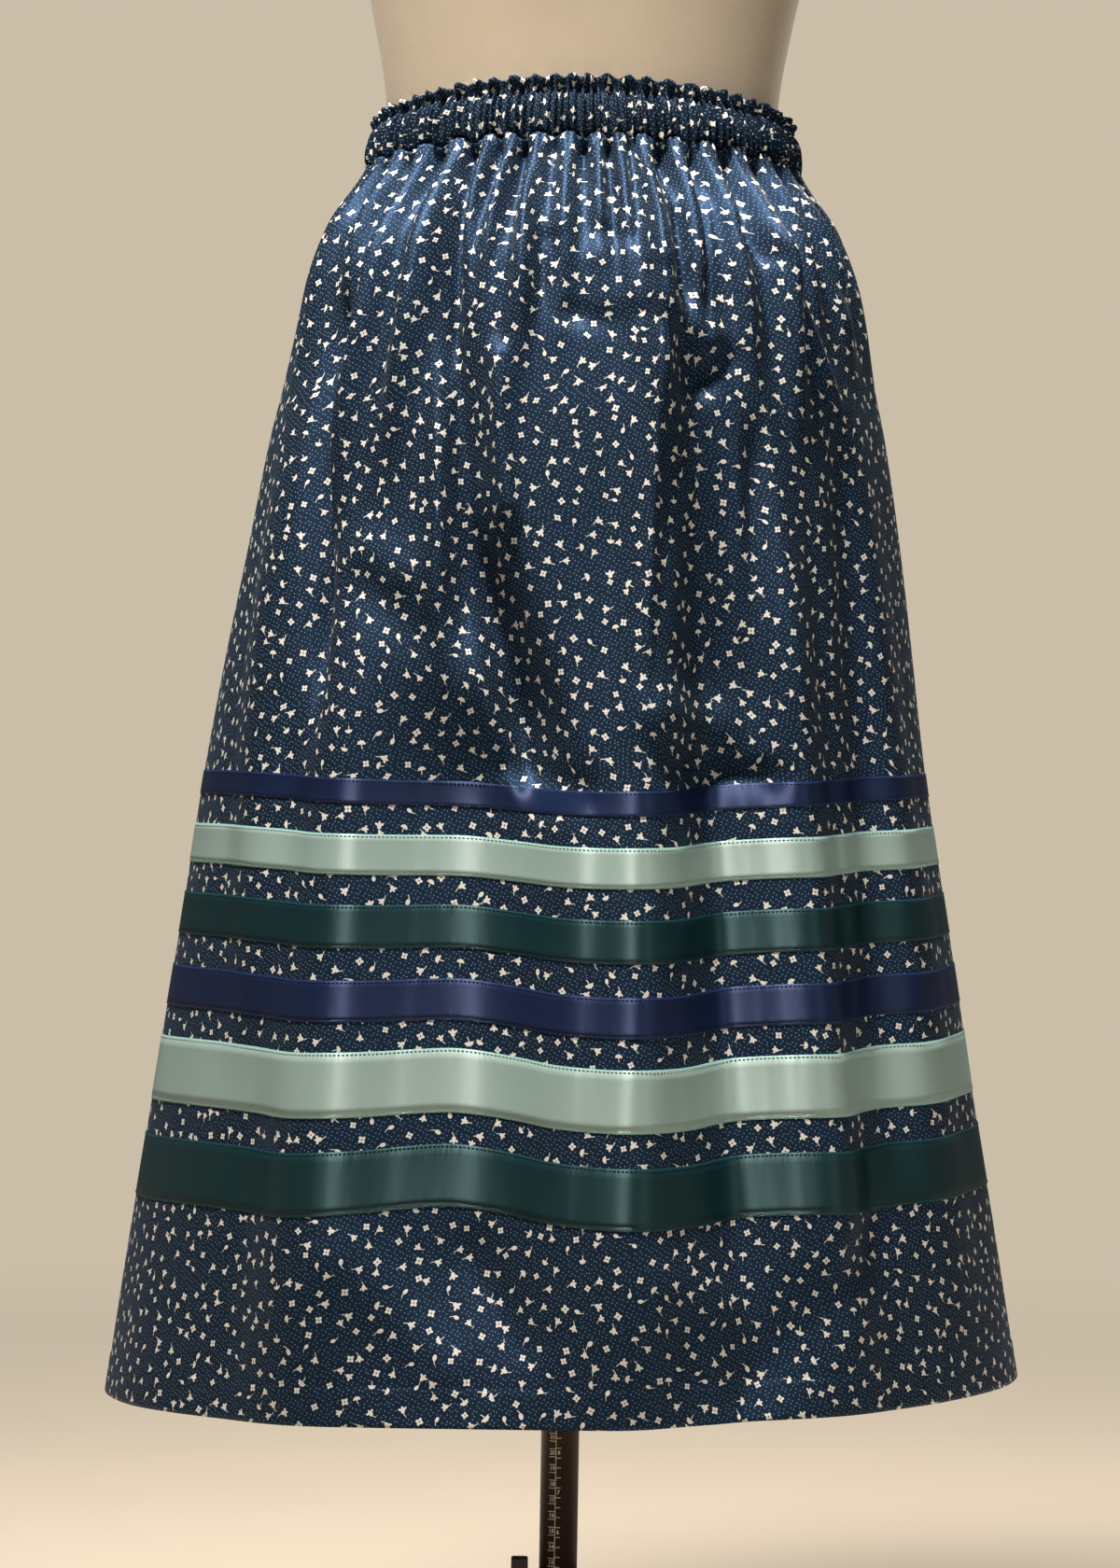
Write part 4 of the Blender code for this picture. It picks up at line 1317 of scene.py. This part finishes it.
# %% Paint for the stand
def sprayed_paint(name, colour, worn, roughness, peel_mm):
    """Sprayed paint over metal, with its orange peel and faint handling marks."""
    material, tree, shader, place = new_material(name)
    # Handling marks are clouds about 45 mm across.
    peel, cloud = (
        add_node(
            tree, "ShaderNodeTexNoise", {"Vector": place, "Scale": per_metre, "Detail": detail},
        ).outputs["Fac"]
        for per_metre, detail in ((1.0 / (peel_mm * MM), 2.0), (22.0, 6.0))
    )
    scuff = add_node(
        tree, "ShaderNodeMapRange",
        {"Value": cloud, "From Min": 0.62, "From Max": 0.72, "To Min": 0.0, "To Max": 0.35},
    )
    tint = add_node(
        tree, "ShaderNodeMix", {"Factor": scuff.outputs[0], "A": colour, "B": worn},
        data_type="RGBA",
    )
    bump = add_node(
        tree, "ShaderNodeBump", {"Strength": 0.3, "Distance": 0.06 * MM, "Height": peel})
    fill(shader, {
        "Base Color": tint.outputs["Result"], "Normal": bump.outputs["Normal"],
        "Roughness": Number(cloud).step("MULTIPLY_ADD", 0.2, roughness - 0.1),
    })
    return material


pole_paint = sprayed_paint("brown powder coat on steel tube", "#301F19", "#48352A", 0.46, 1.1)
base_paint = sprayed_paint("satin enamel on cast iron", "#2E2723", "#4A4039", 0.46, 1.6)
stand_parts = ["form_flange", "base_hub", "clamp_lever", *(f"base_leg_{n}" for n in range(1, 5))]
for name in stand_parts:
    frame["nodes"][name].data.materials.clear()
    frame["nodes"][name].data.materials.append(base_paint)
print("painted:", stand_parts)


# %% The pole, drawn round
POLE_SIDES = 72


def round_bar(name, low, high, sides):
    """An upright bar between two corners of a box, smooth round its side."""
    radius = (high[0] - low[0]) / 2
    points = circle(radius, low[2], sides) + circle(radius, high[2], sides)
    faces = [
        (side, (side + 1) % sides, sides + (side + 1) % sides, sides + side)
        for side in range(sides)
    ]
    faces += [tuple(range(sides - 1, -1, -1)), tuple(range(sides, 2 * sides))]
    data = new_mesh(name, points, faces)
    data.polygons.foreach_set("use_smooth", [True] * sides + [False] * 2)
    return data


pole_mesh = round_bar("pole_tube", *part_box("pole"), POLE_SIDES)
pole = new_piece("pole_tube", pole_mesh, (pole_paint,), ("pole",))
print("pole:", triangle_count(pole), "triangles")

# %% [markdown]
# ## The scale on the pole
# The pole carries a printed rule for setting hem heights: an upright line, with centimetres
# on its left and inches on its right, counted from the floor. Each mark is a flat shape
# that is bent round the tube, so a numeral is made as text, turned into a mesh, and its
# width is read as an angle.

# %% Marks bent round the tube
POLE_RADIUS, POLE_TOP, HUB_TOP = 12.2, 793.0, 122.0
MARK_LIFT, MARK_LINE = 0.06, 0.5
SCALE_TURN, LEFT_TURN, RIGHT_TURN = -11.5, -33.0, 4.0
SCALE_SHIFT = 1.5
INCH_MM = 25.4
CENTIMETRES, QUARTER_INCHES = range(13, 79), range(20, 124)
NUMERAL_SIZE, NUMERAL_BOLDER, INCH_ASIDE, INCH_DROP = 3.6, 0.11, 0.2, 3.1
INK_THICKNESS = 0.06 * MM


def bend(points):
    """Flat (x, z) millimetres as points on the tube."""
    angle = points[:, 0] / POLE_RADIUS
    radius = (POLE_RADIUS + MARK_LIFT) * MM
    return np.stack([radius * np.sin(angle), -radius * np.cos(angle), points[:, 1] * MM], axis=-1)


def bar(left, right, low, high, columns=4):
    """A flat bar in (x, z), as points and faces."""
    x = np.linspace(left, right, columns + 1)
    points = np.array([(value, z) for value in x for z in (low, high)])
    return points, [(2 * i, 2 * i + 2, 2 * i + 3, 2 * i + 1) for i in range(columns)]


def tick(left, right, z):
    """A level mark of the scale."""
    return bar(left, right, z - MARK_LINE / 2, z + MARK_LINE / 2)


def numeral(number, centre_x, centre_z):
    """A number's filled outline in (x, z), as points and faces."""
    writing = bpy.data.curves.new("numeral", "FONT")
    writing.body = str(number)
    writing.size = NUMERAL_SIZE
    writing.offset = NUMERAL_BOLDER
    writing.resolution_u = 2
    writing.align_x = "CENTER"
    writing.align_y = "CENTER"
    data = plain_mesh(put("numeral", writing))
    points = np.array([(v.co.x + centre_x, v.co.y + centre_z) for v in data.vertices])
    faces = [tuple(face.vertices) for face in data.polygons]
    bpy.data.curves.remove(writing)
    bpy.data.meshes.remove(data)
    return points, faces


def on_tube(turn):
    """A turn as millimetres round the tube."""
    return math.radians(turn) * POLE_RADIUS


# %% Set out the scale
left, spine, right = (on_tube(turn) for turn in (LEFT_TURN, SCALE_TURN, RIGHT_TURN))
marks = [bar(spine - MARK_LINE / 2, spine + MARK_LINE / 2, HUB_TOP + 1.0, POLE_TOP - 2.0, 1)]
for number in CENTIMETRES:
    middle = number * 10.0 + SCALE_SHIFT
    marks += [tick(left, spine, middle - 2.5), tick(left, spine, middle + 2.5)]
    marks.append(numeral(number, (left + spine) / 2, middle))
for quarter in QUARTER_INCHES:
    z = quarter * INCH_MM / 4 + SCALE_SHIFT
    marks.append(tick(spine, right, z))
    if quarter % 4 == 0 and quarter > QUARTER_INCHES[0]:
        marks.append(numeral(quarter // 4, (spine + right) / 2 + INCH_ASIDE, z - INCH_DROP))
points, faces = [], []
for mark_points, mark_faces in marks:
    faces += [tuple(index + len(points) for index in face) for face in mark_faces]
    points += bend(mark_points).tolist()
print("scale:", len(marks), "marks")

# %% Print the marks
marks_mesh = new_mesh("pole_scale_print", points, faces)
ink, ink_tree, ink_shader, ink_place = new_material("screen printed enamel, off white")
# The ink has worn thin in specks about 2.5 mm across.
worn_ink = mottled(ink_tree, ink_place, 400.0, 2.0, "#C8B7A2", "#E8DCCC")
fill(ink_shader, {"Base Color": worn_ink, "Roughness": 0.5})
scale_print = new_piece("pole_scale_print", marks_mesh, (ink,))
printed = scale_print.modifiers.new("ink thickness", "SOLIDIFY")
printed.thickness = INK_THICKNESS
printed.offset = 1.0
print("ink:", triangle_count(scale_print), "triangles")

# %% [markdown]
# ## Cloth sizes
# The panels are cut as flared shapes, 845 mm wide at the hem, and the ribbons and the
# casing are strips that go all the way round.

for ribbon in RIBBONS:
    piece, length = ribbon_pieces[ribbon.number]
    ribbon.width_mm * MM
